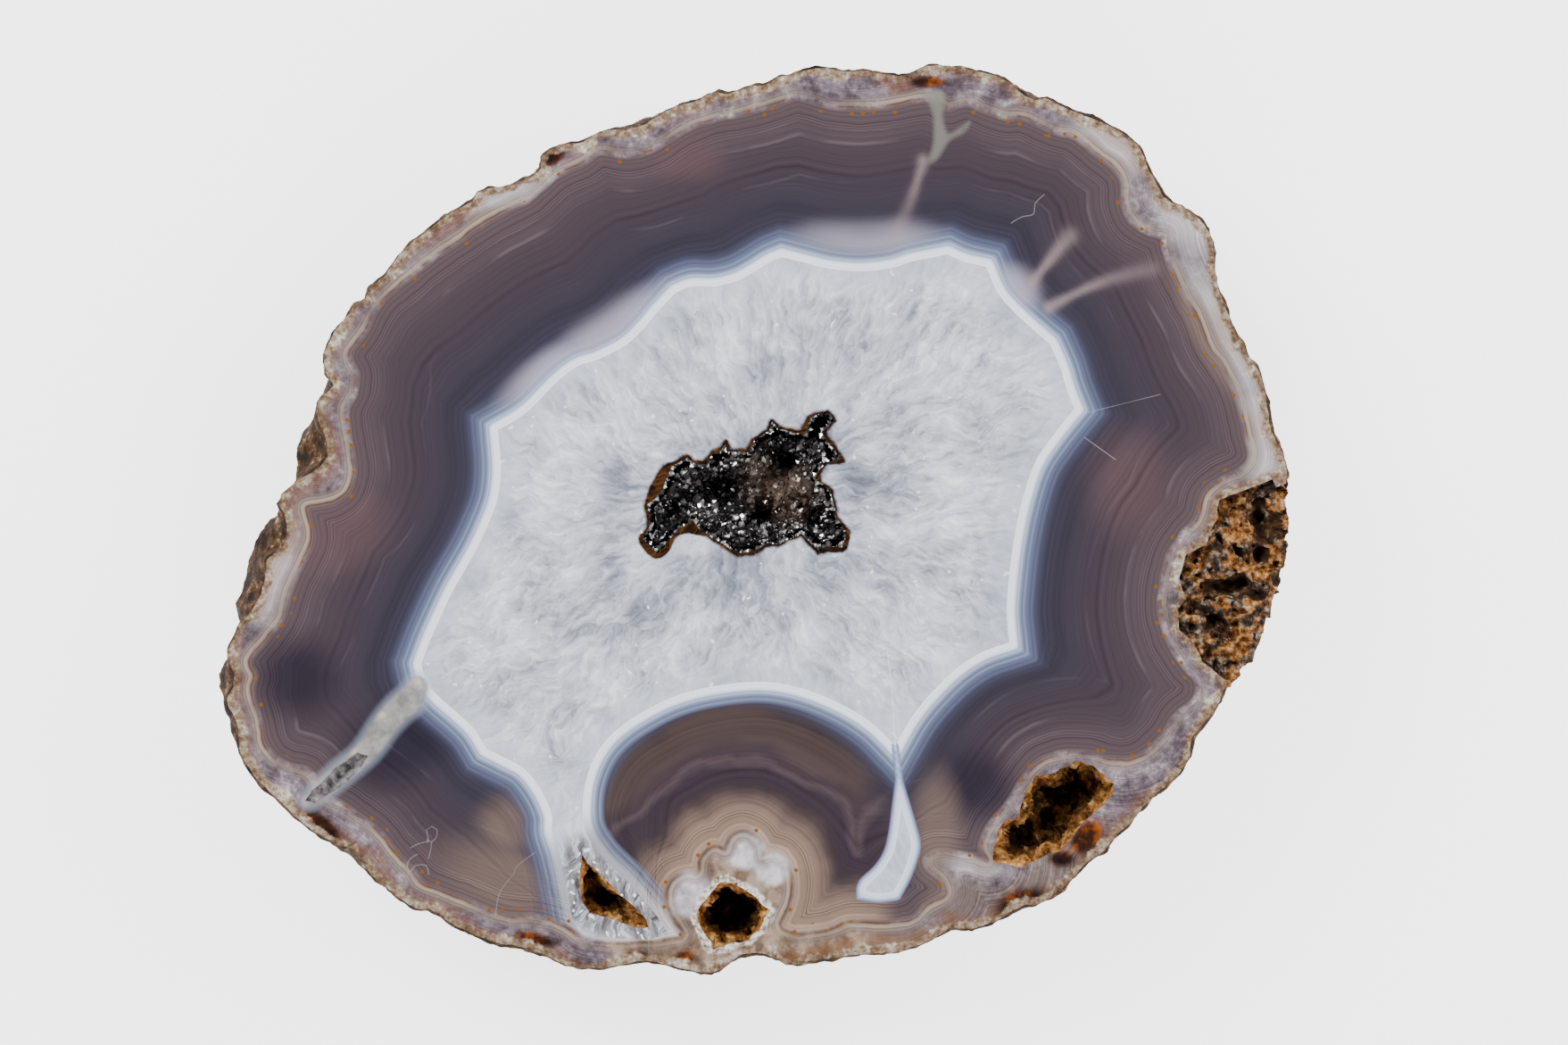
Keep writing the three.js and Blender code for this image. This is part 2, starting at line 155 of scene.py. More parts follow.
# Pale hair cracks
CRACKS = [
    [(1133, 250), (1145, 243), (1158, 240), (1160, 228), (1170, 218)],
    [(1220, 462), (1260, 452), (1300, 442)],
    [(1215, 490), (1250, 515)],
    [(600, 955), (580, 970), (575, 980), (560, 1000), (555, 1026)],
    [(478, 930), (484, 926), (490, 930), (488, 940), (481, 943), (478, 930)],
    [(481, 943), (470, 945), (460, 950)],
    [(484, 943), (482, 955), (480, 962)],
    [(468, 957), (460, 962), (456, 970), (460, 977), (465, 970), (478, 970), (480, 980)],
    [(727, 1050), (727, 1081)],
    [(495, 760), (515, 747), (530, 750), (548, 738), (575, 731)],
    [(1003, 835), (1001, 800), (999, 765), (994, 730)],
]
# A forked flaw at the upper edge and a vein of quartz at the lower left, both filled and pale
FLAW = [(1038, 104), (1058, 104), (1056, 130), (1062, 150), (1075, 144), (1087, 136), (1080, 148),
        (1064, 157), (1050, 178), (1041, 180), (1046, 160), (1046, 130)]
VEIN = [(480, 766), (473, 790), (455, 806), (440, 822), (425, 843), (405, 862), (352, 902), (340, 893),
        (372, 860), (398, 838), (420, 806), (436, 786), (452, 772), (467, 757)]

# Soft-edged tints on the face: (x, y, half width, half height, turn in degrees)
EYE = [(828, 965, 178, 190, 0)]
DOMES = [(772, 1001, 27, 30, 0), (835, 953, 25, 23, 0), (866, 973, 22, 21, 0)]
LIP = [(738, 540, 26, 48, 30), (735, 612, 24, 18, 0), (775, 592, 20, 12, 0), (935, 605, 20, 16, 0)]
TAUPE = [(1165, 985, 120, 26, 38), (1352, 375, 20, 95, 27), (570, 985, 100, 50, -20),
         (575, 925, 50, 45, 0), (1050, 930, 35, 80, 0), (940, 1052, 170, 30, 0),
         (1075, 1010, 50, 36, 20)]
ROCK_HOLLOWS = [(1378, 657, 32, 13, 8), (1418, 590, 24, 26, 0), (1372, 700, 28, 24, 0)]
ROSE = [(385, 600, 75, 50, 30), (1265, 540, 60, 80, 0), (770, 178, 55, 30, 0)]
SLATE = [(450, 830, 100, 60, 35), (330, 760, 60, 60, 0), (1095, 880, 60, 50, -30)]
HAZE = [(690, 368, 95, 36, 32), (620, 415, 80, 30, 32), (970, 262, 90, 28, 0), (1135, 325, 38, 34, 0)]
BEAMS = [[(1035, 180), (1020, 225), (1005, 262)], [(1175, 345), (1225, 320), (1290, 300)],
         [(1155, 318), (1198, 265)]]
PALE_RIM = [(1088, 970, 46, 11, -8), (1330, 240, 40, 70, 30), (1370, 375, 36, 110, 25),
            (1410, 490, 30, 90, 10), (570, 215, 60, 30, 25), (1240, 165, 60, 40, -30),
            (300, 640, 40, 70, -20)]
AMBER = [(1218, 938, 30, 20, 45), (1190, 962, 18, 12, 0), (712, 1072, 16, 10, 0), (768, 1072, 14, 9, 0),
         (1145, 1012, 38, 20, 15), (1040, 92, 26, 9, 0), (620, 178, 20, 9, 30), (1300, 205, 10, 22, 20),
         (360, 925, 34, 14, -35), (600, 1052, 30, 9, -15), (1335, 850, 12, 30, -30)]
VUG_SHADE = [(790, 645, 90, 45, 0), (985, 555, 60, 40, 0), (830, 490, 40, 30, 0), (730, 680, 60, 50, 0)]


# Arithmetic on outlines

def curve(points, closed=False, step=0.45):
    """A smooth line through picture points, in millimetres, with even steps."""
    knots = place(points)
    count = len(knots)
    spans = count if closed else count - 1
    line = []
    for i in range(spans):
        before, start, end, after = (
            knots[(i + k) % count] if closed else knots[min(max(i + k, 0), count - 1)]
            for k in (-1, 0, 1, 2)
        )
        steps = max(1, int(np.linalg.norm(end - start) / step))
        u = (np.arange(steps) / steps)[:, None]
        line.append(0.5 * (2 * start + (end - before) * u
                           + (2 * before - 5 * start + 4 * end - after) * u ** 2
                           + (3 * start - before - 3 * end + after) * u ** 3))
    if not closed:
        line.append(knots[-1:])
    return np.concatenate(line)


def straight(points, step=0.3):
    """A closed line with straight sides through picture points, in millimetres."""
    knots = place(points)
    sides = []
    for start, end in zip(knots, np.roll(knots, -1, 0)):
        steps = max(1, int(np.linalg.norm(end - start) / step))
        sides.append(start + (end - start) * (np.arange(steps) / steps)[:, None])
    return np.concatenate(sides)


def joined(strokes):
    """Strokes that share their ends, as one closed line with sharp cusps."""
    return np.concatenate([curve(stroke)[:-1] for stroke in strokes])


def inside(points, outline):
    """Which points lie inside a closed line."""
    low, high = outline.min(0), outline.max(0)
    found = ((points >= low) & (points <= high)).all(1)
    x, y = points[found].T
    odd = np.zeros(len(x), bool)
    for (ax, ay), (bx, by) in zip(outline, np.roll(outline, -1, 0)):
        if ay != by:
            odd ^= ((ay > y) != (by > y)) & (x < ax + (bx - ax) * (y - ay) / (by - ay))
    found[found] = odd
    return found


def nearest(points, line, closed=True):
    """Distance of each point to a finely stepped line, the nearest span and the share along it."""
    tree = kdtree.KDTree(len(line))
    for number, (x, y) in enumerate(line.tolist()):
        tree.insert((x, y, 0), number)
    tree.balance()
    at = np.array([tree.find((x, y, 0))[1] for x, y in points.tolist()], int)
    spans = len(line) if closed else len(line) - 1
    found = []
    for span in (at - 1, at):
        span = span % spans if closed else np.clip(span, 0, spans - 1)
        start = line[span]
        along = line[(span + 1) % len(line)] - start
        length2 = np.maximum((along ** 2).sum(1), 1e-12)
        share = np.clip(((points - start) * along).sum(1) / length2, 0, 1)
        gap = np.linalg.norm(points - start - share[:, None] * along, axis=1)
        found.append((gap, span, share))
    first, second = found
    take = second[0] < first[0]
    return tuple(np.where(take, b, a) for a, b in zip(first, second))


def near(points, line, reach, closed=True):
    """Distance to a small line, looked for only around it and no more than the reach."""
    close = ((points > line.min(0) - reach) & (points < line.max(0) + reach)).all(1)
    found = np.full(len(points), float(reach))
    if close.any():
        found[close] = np.minimum(nearest(points[close], line, closed)[0], reach)
    return found


def signed(points, line, reach):
    """Distance to a small closed line, positive inside, no more than the reach."""
    return near(points, line, reach) * np.where(inside(points, line), 1, -1)


def mitred(points, outline):
    """Signed distance to a closed line, positive outside, whose offset lines keep sharp corners."""
    distance, span, share = nearest(points, outline)
    along = np.roll(outline, -1, 0) - outline
    turn = np.sign((outline[:, 0] * np.roll(outline[:, 1], -1)
                    - outline[:, 1] * np.roll(outline[:, 0], -1)).sum())
    normal = turn * np.stack([along[:, 1], -along[:, 0]], 1)
    normal /= np.linalg.norm(normal, axis=1, keepdims=True)
    count = len(outline)
    one = np.where(share <= 0, (span - 1) % count, span)
    two = np.where(share >= 1, (span + 1) % count, span)
    off_one = ((points - outline[one]) * normal[one]).sum(1)
    off_two = ((points - outline[two]) * normal[two]).sum(1)
    corner = np.maximum(off_one, off_two)
    within = inside(points, outline)
    at_corner = ((share <= 0) | (share >= 1)) & ~within & (corner > 0)
    return np.where(within, -distance, np.where(at_corner, corner, distance))


def ramp(value, low, high):
    """A smooth step from 0 at the low value to 1 at the high one."""
    u = np.clip((value - low) / (high - low), 0, 1)
    return u * u * (3 - 2 * u)


def soft_spots(points, spots, core=0.25, edge=1.15):
    """How far inside any of the soft oval spots each point lies, from 0 to 1."""
    found = np.zeros(len(points))
    for x, y, half_width, half_height, turn in spots:
        offset = (points - place([(x, y)])) / MM_PER_POINT
        c, s = math.cos(math.radians(turn)), math.sin(math.radians(turn))
        across = (offset[:, 0] * c + offset[:, 1] * s) / half_width
        up = (-offset[:, 0] * s + offset[:, 1] * c) / half_height
        found = np.maximum(found, 1 - ramp(np.hypot(across, up), core, edge))
    return found


def rough(places, size, seed):
    """Smooth noise from -1 to 1 with lumps of the given size, at each place in millimetres."""
    shift = Vector((seed * 17.3, seed * 5.1, seed * 9.7))
    return np.array([noise.noise(Vector(spot) / size + shift) for spot in places])


CORE = joined(CORE_STROKES)
POCKET = joined(POCKET_STROKES)
BED = curve(BED_LINE, closed=True)
HAIR_CRACKS = [curve(line) for line in CRACKS]
PITS = [curve(line, closed=True, step=0.3) for line in (ROUND_PIT, SLIT_PIT, RUSTY_CAVITY)]
VUG_EDGE = straight(VUG)


# The stone

def pick(piece):
    """Makes one piece the only selected and active one."""
    bpy.ops.object.select_all(action="DESELECT")
    piece.select_set(True)
    bpy.context.view_layer.objects.active = piece


def rind_and_hollows():
    """The slab's solid without its two sawn faces, cut finer for the roughness to come."""
    shell = bpy.data.objects.new("rind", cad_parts["agate_slice"].data.copy())
    bpy.context.scene.collection.objects.link(shell)
    pick(shell)
    bpy.ops.object.mode_set(mode="EDIT")
    bpy.ops.mesh.select_mode(type="FACE")
    bpy.ops.mesh.select_all(action="SELECT")
    bpy.ops.mesh.remove_doubles(threshold=1e-6)
    bpy.ops.mesh.select_all(action="DESELECT")
    bpy.ops.object.mode_set(mode="OBJECT")
    for face in shell.data.polygons:
        height = face.center.z
        face.select = min(height - slab_low.z, slab_high.z - height) < 1e-5
    bpy.ops.object.mode_set(mode="EDIT")
    bpy.ops.mesh.delete(type="FACE")
    bpy.ops.mesh.select_all(action="SELECT")
    bpy.ops.mesh.subdivide(number_cuts=RIND_CUTS)
    bpy.ops.mesh.quads_convert_to_tris()
    bpy.ops.object.mode_set(mode="OBJECT")
    return shell


def mesh_arrays(piece):
    """A mesh's vertices in millimetres, its vertex normals and its triangles."""
    mesh = piece.data
    places = np.empty(len(mesh.vertices) * 3)
    mesh.vertices.foreach_get("co", places)
    normals = np.empty(len(mesh.vertices) * 3)
    mesh.vertex_normals.foreach_get("vector", normals)
    corners = np.empty(len(mesh.polygons) * 3, int)
    mesh.polygons.foreach_get("vertices", corners)
    return places.reshape(-1, 3) / MM, normals.reshape(-1, 3), corners.reshape(-1, 3)


def open_edges(triangles):
    """Edges that belong to a single triangle."""
    edges = np.concatenate([triangles[:, [0, 1]], triangles[:, [1, 2]], triangles[:, [2, 0]]])
    ordered = np.sort(edges, 1)
    _, first, count = np.unique(ordered, axis=0, return_index=True, return_counts=True)
    return edges[first[count == 1]]


def lattice(low, high, cell):
    """Points in rows, each row shifted by half a step, with a little seeded jitter."""
    jitter = np.random.default_rng(4)
    rows = np.arange(low[1], high[1], cell * math.sqrt(0.75))
    columns = np.arange(low[0], high[0], cell)
    x, y = np.meshgrid(columns, rows)
    x[1::2] += cell / 2
    points = np.stack([x.ravel(), y.ravel()], 1)
    return points + jitter.uniform(-0.12, 0.12, points.shape) * cell


def chained(edges):
    """Open edges as closed loops of vertex numbers."""
    following = dict(edges.tolist())
    loops = []
    while following:
        start, at = following.popitem()
        loop = [start]
        while at != start:
            loop.append(at)
            at = following.pop(at)
        loops.append(np.array(loop))
    return loops


def fill(rim_points, rim_edges, spread, loops, lines):
    """Fine triangles across a flat face between its rim loops, with edges along the given lines."""
    points = [rim_points]
    edges = [rim_edges]
    total = len(rim_points)
    for line in [*loops, *lines]:
        number = total + np.arange(len(line))
        points.append(line)
        edges.append(np.stack([number[:-1], number[1:]], 1))
        total += len(line)
    points = np.concatenate([*points, *spread])
    found = geometry.delaunay_2d_cdt(
        [Vector(p) for p in points], np.concatenate(edges).tolist(), [], 0, 1e-7
    )
    places, _, triangles, source = found[:4]
    return np.array([p[:] for p in places]), np.array(triangles), source


def face_layout(shell_places, shell_triangles, height, loops, lines, spread_of):
    """Vertices and triangles that close the slab at one height, welded to the shell's rim."""
    edges = open_edges(shell_triangles)
    edges = edges[np.abs(shell_places[edges].mean(1)[:, 2] - height) < 0.01]
    rims = chained(edges)
    rim = np.concatenate(rims)
    number = {old: new for new, old in enumerate(rim.tolist())}
    rim_edges = np.array([[number[a], number[b]] for a, b in edges.tolist()])
    outlines = sorted((shell_places[loop][:, :2] for loop in rims), key=len, reverse=True)
    closed = [np.concatenate([loop, loop[:1]]) for loop in loops]
    places, triangles, source = fill(
        shell_places[rim][:, :2], rim_edges, spread_of(outlines), closed, lines
    )
    middle = places[triangles].mean(1)
    kept = inside(middle, outlines[0])
    for hole in outlines[1:]:
        kept &= ~inside(middle, hole)
    triangles = triangles[kept]
    used = np.unique(triangles)
    welded = np.full(len(places), -1)
    for at in used.tolist():
        from_rim = [s for s in source[at] if s < len(rim)]
        if from_rim:
            welded[at] = rim[from_rim[0]]
    fresh = used[welded[used] < 0]
    welded[fresh] = len(shell_places) + np.arange(len(fresh))
    new_places = np.column_stack([places[fresh], np.full(len(fresh), height)])
    return new_places, welded[triangles], outlines


def clear_of(points, outlines, gap):
    """The points inside the first outline, outside the others, and clear of all of them."""
    kept = inside(points, outlines[0])
    for hole in outlines[1:]:
        kept &= ~inside(points, hole)
    points = points[kept]
    for outline in outlines:
        points = points[near(points, outline, gap + 0.1) > gap]
    return points


def face_spread(outlines):
    """Points over the polished face: fine on the bands, coarser on the quartz core."""
    low, high = outlines[0].min(0), outlines[0].max(0)
    fine = clear_of(lattice(low, high, FACE_CELL), outlines, 0.3)
    coarse = clear_of(lattice(low, high, CORE_CELL), outlines, 0.4)
    fine_depth = np.minimum(mitred(fine, CORE), mitred(fine, POCKET))
    fine = fine[(fine_depth > -0.9) & (np.abs(fine_depth) > 0.2)]
    coarse = coarse[mitred(coarse, CORE) < -1.1]
    for line in HAIR_CRACKS:
        fine = fine[near(fine, line, 0.3, closed=False) > 0.2]
        coarse = coarse[near(coarse, line, 0.4, closed=False) > 0.3]
    return [fine, coarse]


def back_spread(outlines):
    """Points over the sawn back."""
    low, high = outlines[0].min(0), outlines[0].max(0)
    return [clear_of(lattice(low, high, BACK_CELL), outlines, 0.6)]


def rim_of(places, triangles):
    """The outline of the polished face, from the shell's open edges."""
    edges = open_edges(triangles)
    edges = edges[places[edges].mean(1)[:, 2] > FACE_Z - 0.01]
    return places[max(chained(edges), key=len)][:, :2]


def roughened(places, normals, triangles):
    """The shell's vertices, pushed in and out along their normals except on the sawn edges."""
    rim = np.unique(open_edges(triangles))
    region = region_of(places, rim_of(places, triangles))
    push = np.zeros(len(places))
    for number, lumps in LUMPS.items():
        mine = region == number
        for seed, (size, height) in enumerate(lumps):
            push[mine] += height * rough(places[mine], size, seed + 1)
    spongy = region == HOST
    pores = ramp(rough(places[spongy], 2.6, 31), 0.12, 0.5)
    pores += 0.6 * ramp(rough(places[spongy], 1.2, 32), 0.2, 0.6)
    push[spongy] -= PORE_DEPTH * pores
    moved = places + normals * push[:, None]
    moved[:, 2] = np.clip(moved[:, 2], 0.02, FACE_Z - 0.02)
    chips = np.where(region[rim] == RUST, 0.4, 0.16) * rough(places[rim], 1.1, 5)
    moved[rim] = places[rim] + normals[rim] * (1, 1, 0) * chips[:, None]
    return moved


def region_of(places, rim_outline):
    """Which part of the shell each place belongs to, as a material number."""
    flat = places[:, :2]
    region = np.full(len(places), RIND)
    for line, number in ((straight(HOST_ROCK), HOST), (PITS[0], RUST), (PITS[1], RUST), (PITS[2], RUST),
                         (straight(VEIN_GROOVE), GREY_QUARTZ), (VUG_EDGE, VUG_WALL)):
        within = inside(flat, line) | (near(flat, line, 1.0) < 0.7)
        region[within & (places[:, 2] > FACE_Z - 16)] = number
    outer_wall = (near(flat, rim_outline, 2.0) < 1.6) | ~inside(flat, rim_outline)
    region[outer_wall & (places[:, 2] < FACE_Z - 2.2)] = RIND
    return region


CHALCEDONY, QUARTZ, RIND, RUST, HOST, GREY_QUARTZ, VUG_WALL, SAWN = range(8)
# Lumps pushed up on each rough part: (size, height)
LUMPS = {
    RIND: [(2.4, 0.34), (1.1, 0.2), (0.55, 0.1)],
    RUST: [(2.6, 1.3), (1.2, 0.7), (0.6, 0.25)],
    HOST: [(4.0, 0.9), (1.3, 0.6), (0.6, 0.3)],
    GREY_QUARTZ: [(1.2, 0.25), (0.6, 0.12)],
    VUG_WALL: [(1.6, 0.3), (0.8, 0.2)],
}


def agate_stone():
    """The slab as one mesh: rind, hollows, polished face and sawn back."""
    shell = rind_and_hollows()
    places, normals, triangles = mesh_arrays(shell)
    places = roughened(places, normals, triangles)
    dips = soft_spots(places[:, :2], ROCK_HOLLOWS, 0.2, 1.1)
    below_face = ramp(-places[:, 2], -FACE_Z + 0.2, -FACE_Z + 1.2)
    places[:, 2] -= HOLLOW_DEPTH * dips * ramp(places[:, 2], 4.0, 8.0) * below_face
    bpy.data.objects.remove(shell)
    top_new, top, outlines = face_layout(
        places, triangles, FACE_Z, [CORE, POCKET], HAIR_CRACKS, face_spread
    )
    both = np.concatenate([places, top_new])
    back_new, back, _ = face_layout(places, triangles, 0.0, [], [], back_spread)
    back = np.where(back >= len(places), back + len(top_new), back)[:, ::-1]
    everything = np.concatenate([both, back_new])
    faces = np.concatenate([triangles, top, back])
    middle = everything[top].mean(1)[:, :2]
    quartz = inside(middle, CORE) | inside(middle, POCKET)
    numbers = np.concatenate([
        region_of(places[triangles].mean(1), outlines[0]),
        np.where(quartz, QUARTZ, CHALCEDONY),
        np.full(len(back), SAWN),
    ])
    mesh = bpy.data.meshes.new("agate_stone")
    mesh.from_pydata((everything * MM).tolist(), [], faces.tolist())
    mesh.polygons.foreach_set("material_index", numbers.astype(np.int32))
    stone = bpy.data.objects.new("agate_stone", mesh)
    bpy.context.scene.collection.objects.link(stone)
    on_face = np.zeros(len(everything), bool)
    on_face[np.unique(top)] = True
    write_layers(mesh, everything, on_face, outlines[0])
    pick(stone)
    bpy.ops.object.shade_smooth_by_angle(angle=math.radians(38))
    return stone


def write_layers(mesh, places, on_face, rim_outline):
    """What the materials read on the face: distances to the agate's layers and soft tints."""
    flat = places[on_face][:, :2]
    lift = np.column_stack([flat, np.zeros(len(flat))])
    core = mitred(flat, CORE)
    neck = near(flat, curve(POCKET_NECK), 4.0, closed=False)
    pocket = np.minimum(mitred(flat, POCKET), neck + 0.8)
    bed = nearest(flat, BED)[0] * np.where(inside(flat, BED), 1, -1)
    bed += np.exp(-np.abs(bed) / 5) * (0.22 * rough(lift, 2.6, 11) + 0.12 * rough(lift, 1.1, 12))
    outside = np.maximum(core, 0)
    within = np.maximum(bed, 0)
    beams = np.zeros(len(flat))
    for beam in BEAMS:
        gap, span, share = nearest(flat, curve(beam), closed=False)
        along = (span + share) / len(curve(beam))
        width = 0.55 + 0.9 * np.abs(along - 0.3)
        beams = np.maximum(beams, (0.75 - 0.4 * along) * np.exp(-(gap / width) ** 2))
    fields = {
        "core": np.where(pocket < 0, pocket, core), "pocket": pocket, "bed": bed,
        "amber": soft_spots(flat, AMBER, 0.5, 1.1),
        "layer": within / np.maximum(within + outside, 1e-3),
        "rim": nearest(flat, rim_outline)[0],
        "pit": np.minimum.reduce([near(flat, line, 9.0) for line in PITS]),
        "vug": nearest(flat, VUG_EDGE)[0],
        "vein": signed(flat, curve(VEIN, closed=True), 3.0),
        "flaw": signed(flat, curve(FLAW, closed=True), 3.0),
        "crack": np.minimum.reduce([near(flat, line, 1.0, closed=False) for line in HAIR_CRACKS]),
        "eye": soft_spots(flat, EYE, 0.88, 1.06), "dome": soft_spots(flat, DOMES, 0.7, 1.1),
        "lip": soft_spots(flat, LIP), "taupe": soft_spots(flat, TAUPE),
        "rose": soft_spots(flat, ROSE), "slate": soft_spots(flat, SLATE),
        "haze": soft_spots(flat, HAZE), "beam": beams,
        "pale_rim": soft_spots(flat, PALE_RIM), "vug_shade": soft_spots(flat, VUG_SHADE),
    }
    for name, values in fields.items():
        full = np.zeros(len(places), np.float32)
        full[on_face] = values
        mesh.attributes.new(name, "FLOAT", "POINT").data.foreach_set("value", full)


# The crystals that line the vug

def turned(axes, spin):
    """For each axis, two sideways directions at right angles to it, turned by the spin."""
    side = np.cross(axes, np.where(np.abs(axes[:, 2:]) < 0.8, [[0, 0, 1]], [[1, 0, 0]]))
    side /= np.linalg.norm(side, axis=1, keepdims=True)
    other = np.cross(axes, side)
    c, s = np.cos(spin)[:, None], np.sin(spin)[:, None]
    return side * c + other * s, other * c - side * s


def crystals(spots, axes, radii, lengths, chance):
    """Six-sided crystals with pointed ends: their vertices and their faces, all in one mesh."""
    side, other = turned(axes, chance.uniform(0, math.pi, len(spots)))
    angle = np.arange(6) * math.pi / 3
    rings = []
    for share, lift in ((1.0, 0.0), (0.92, 0.55)):
        round_it = (side[:, None] * np.cos(angle)[:, None] + other[:, None] * np.sin(angle)[:, None])
        rings.append(spots[:, None] + round_it * radii[:, None, None] * share
                     + (axes * lengths[:, None] * lift)[:, None])
    tip = spots + axes * lengths[:, None] + side * radii[:, None] * 0.25
    places = np.concatenate([rings[0], rings[1], tip[:, None]], 1)
    step = np.arange(6)
    after = (step + 1) % 6
    walls = np.stack([step, after, after + 6, step + 6], 1)
    points = np.stack([step + 6, after + 6, np.full(6, 12)], 1)
    first = np.arange(len(spots)) * 13
    faces = (walls[None] + first[:, None, None]).reshape(-1, 4).tolist()
    faces += (points[None] + first[:, None, None]).reshape(-1, 3).tolist()
    return places.reshape(-1, 3), faces


def scattered(places, triangles, count, chance):
    """Random spots on a mesh, spread by area, with the mesh's direction there."""
    a, b, c = (places[triangles[:, k]] for k in range(3))
    across = np.cross(b - a, c - a)
    area = np.linalg.norm(across, axis=1)
    at = chance.choice(len(triangles), count, p=area / area.sum())
    u, v = chance.uniform(size=(2, count, 1))
    flip = u + v > 1
    u, v = np.where(flip, 1 - u, u), np.where(flip, 1 - v, v)
    spots = a[at] + u * (b - a)[at] + v * (c - a)[at]
    return spots, across[at] / area[at][:, None]


def druse_crystals():
    """The crust of dark crystals in the vug: its solid cut finer, and crystals all over it."""
    chance = np.random.default_rng(7)
    crust = bpy.data.objects.new("crust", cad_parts["druse_crust"].data.copy())
    bpy.context.scene.collection.objects.link(crust)
    pick(crust)
    bpy.ops.object.mode_set(mode="EDIT")
    bpy.ops.mesh.select_all(action="SELECT")
    bpy.ops.mesh.remove_doubles(threshold=1e-6)
    bpy.ops.mesh.subdivide(number_cuts=1)
    bpy.ops.mesh.quads_convert_to_tris()
    bpy.ops.object.mode_set(mode="OBJECT")
    places, normals, triangles = mesh_arrays(crust)
    bpy.data.objects.remove(crust)
    places = places + normals * (0.25 * rough(places, 1.3, 21) + 0.15 * rough(places, 0.6, 22))[:, None]
    up = np.cross(places[triangles[:, 1]] - places[triangles[:, 0]],
                  places[triangles[:, 2]] - places[triangles[:, 0]])[:, 2] > 0
    spots, axes = scattered(places, triangles[up], FLOOR_CRYSTALS, chance)
    # Crystals on the vug's own walls, pointing into it
    along = np.roll(VUG_EDGE, -1, 0) - VUG_EDGE
    inward = np.stack([-along[:, 1], along[:, 0]], 1) / np.linalg.norm(along, axis=1, keepdims=True)
    if not inside(VUG_EDGE[:1] + inward[:1] * 0.05, VUG_EDGE)[0]:
        inward = -inward
    at = chance.integers(0, len(VUG_EDGE), WALL_CRYSTALS)
    depth = FACE_Z - 0.5 - 7.5 * chance.uniform(size=len(at)) ** 1.6
    wall_spots = np.column_stack([VUG_EDGE[at] - inward[at] * 0.15, depth])
    wall_axes = np.column_stack([inward[at], 0.35 + 0.3 * chance.uniform(size=len(at))])
    spots = np.concatenate([spots, wall_spots])
    axes = np.concatenate([axes, wall_axes]) + chance.normal(0, 0.45, (len(spots), 3))
    axes /= np.linalg.norm(axes, axis=1, keepdims=True)
    radii = 0.11 + 0.38 * chance.uniform(size=len(spots)) ** 2.6
    lengths = radii * chance.uniform(1.3, 2.6, len(spots))
    headroom = FACE_Z - 0.05 - spots[:, 2]
    lengths = np.minimum(lengths, np.maximum(headroom, 0.1) / np.maximum(axes[:, 2], 0.2))
    crystal_places, crystal_faces = crystals(spots, axes, radii, lengths, chance)
    everything = np.concatenate([places, crystal_places])
    everything[:, 2] = np.minimum(everything[:, 2], FACE_Z - 0.03)
    faces = triangles.tolist() + [[v + len(places) for v in face] for face in crystal_faces]
    mesh = bpy.data.meshes.new("druse_crystals")
    mesh.from_pydata((everything * MM).tolist(), [], faces)
    tone_and_painted_light = chance.uniform(size=len(spots)) ** 1.7 + 0.45 * rough(spots, 3.2, 25)
    # Painted light: crystals within about two millimetres of the face are lighter than those deeper in the
    # vug
    tone_and_painted_light += 0.5 * ramp(spots[:, 2], FACE_Z - 2.2, FACE_Z - 0.4)
    tone_and_painted_light += 0.4 * soft_spots(spots[:, :2], [(785, 575, 28, 24, 0)])
    # Painted glints: a few crystals at random get the lightest tone
    tone_and_painted_light = np.where(chance.uniform(size=len(spots)) > 0.93, 1.0, tone_and_painted_light)
    tone = np.concatenate([0.3 + 0.25 * rough(places, 2.0, 23), np.repeat(np.clip(tone_and_painted_light, 0, 1), 13)])
    mesh.attributes.new("tone", "FLOAT", "POINT").data.foreach_set("value", tone.astype(np.float32))
    ridge = soft_spots(everything[:, :2], [(872, 545, 52, 40, -20)], 0.3, 1.15)
    mesh.attributes.new("ridge", "FLOAT", "POINT").data.foreach_set("value", ridge.astype(np.float32))
    piece = bpy.data.objects.new("druse_crystals", mesh)
    bpy.context.scene.collection.objects.link(piece)
    return piece


# Materials

def colour(hex_text):
    """An sRGB hex colour as linear RGBA."""
    parts = [int(hex_text[i:i + 2], 16) / 255 for i in (1, 3, 5)]
    return [p / 12.92 if p <= 0.04045 else ((p + 0.055) / 1.055) ** 2.4 for p in parts] + [1.0]


def new_material(name):
    """A material with an empty node tree."""
    material = bpy.data.materials.new(name)
    material.use_nodes = True
    material.node_tree.nodes.clear()
    return material, material.node_tree


def add(tree, kind, settings=None, sockets=None, output=None):
    """Adds a node with its settings, links and values, and gives back one of its outputs."""
    node = tree.nodes.new("ShaderNode" + kind)
    settings = dict(settings or {})
    stops = settings.pop("stops", None)
    for name, value in settings.items():
        setattr(node, name, value)
    if stops:
        elements = node.color_ramp.elements
        while len(elements) < len(stops):
            elements.new(1.0)
        for element, (position, hex_text) in zip(elements, stops):
            element.position = position
            element.color = colour(hex_text)
    for name, value in (sockets or {}).items():
        if isinstance(name, int):
            socket = node.inputs[name]
        else:
            socket = next(s for s in node.inputs if s.name == name and s.enabled)
        if isinstance(value, bpy.types.NodeSocket):
            tree.links.new(value, socket)
        else:
            socket.default_value = value
    if output:
        return node.outputs[output]
    return next((s for s in node.outputs if s.enabled), None)


# Settings that many nodes share
SMOOTH = {"interpolation_type": "SMOOTHSTEP"}
RGBA = {"data_type": "RGBA"}


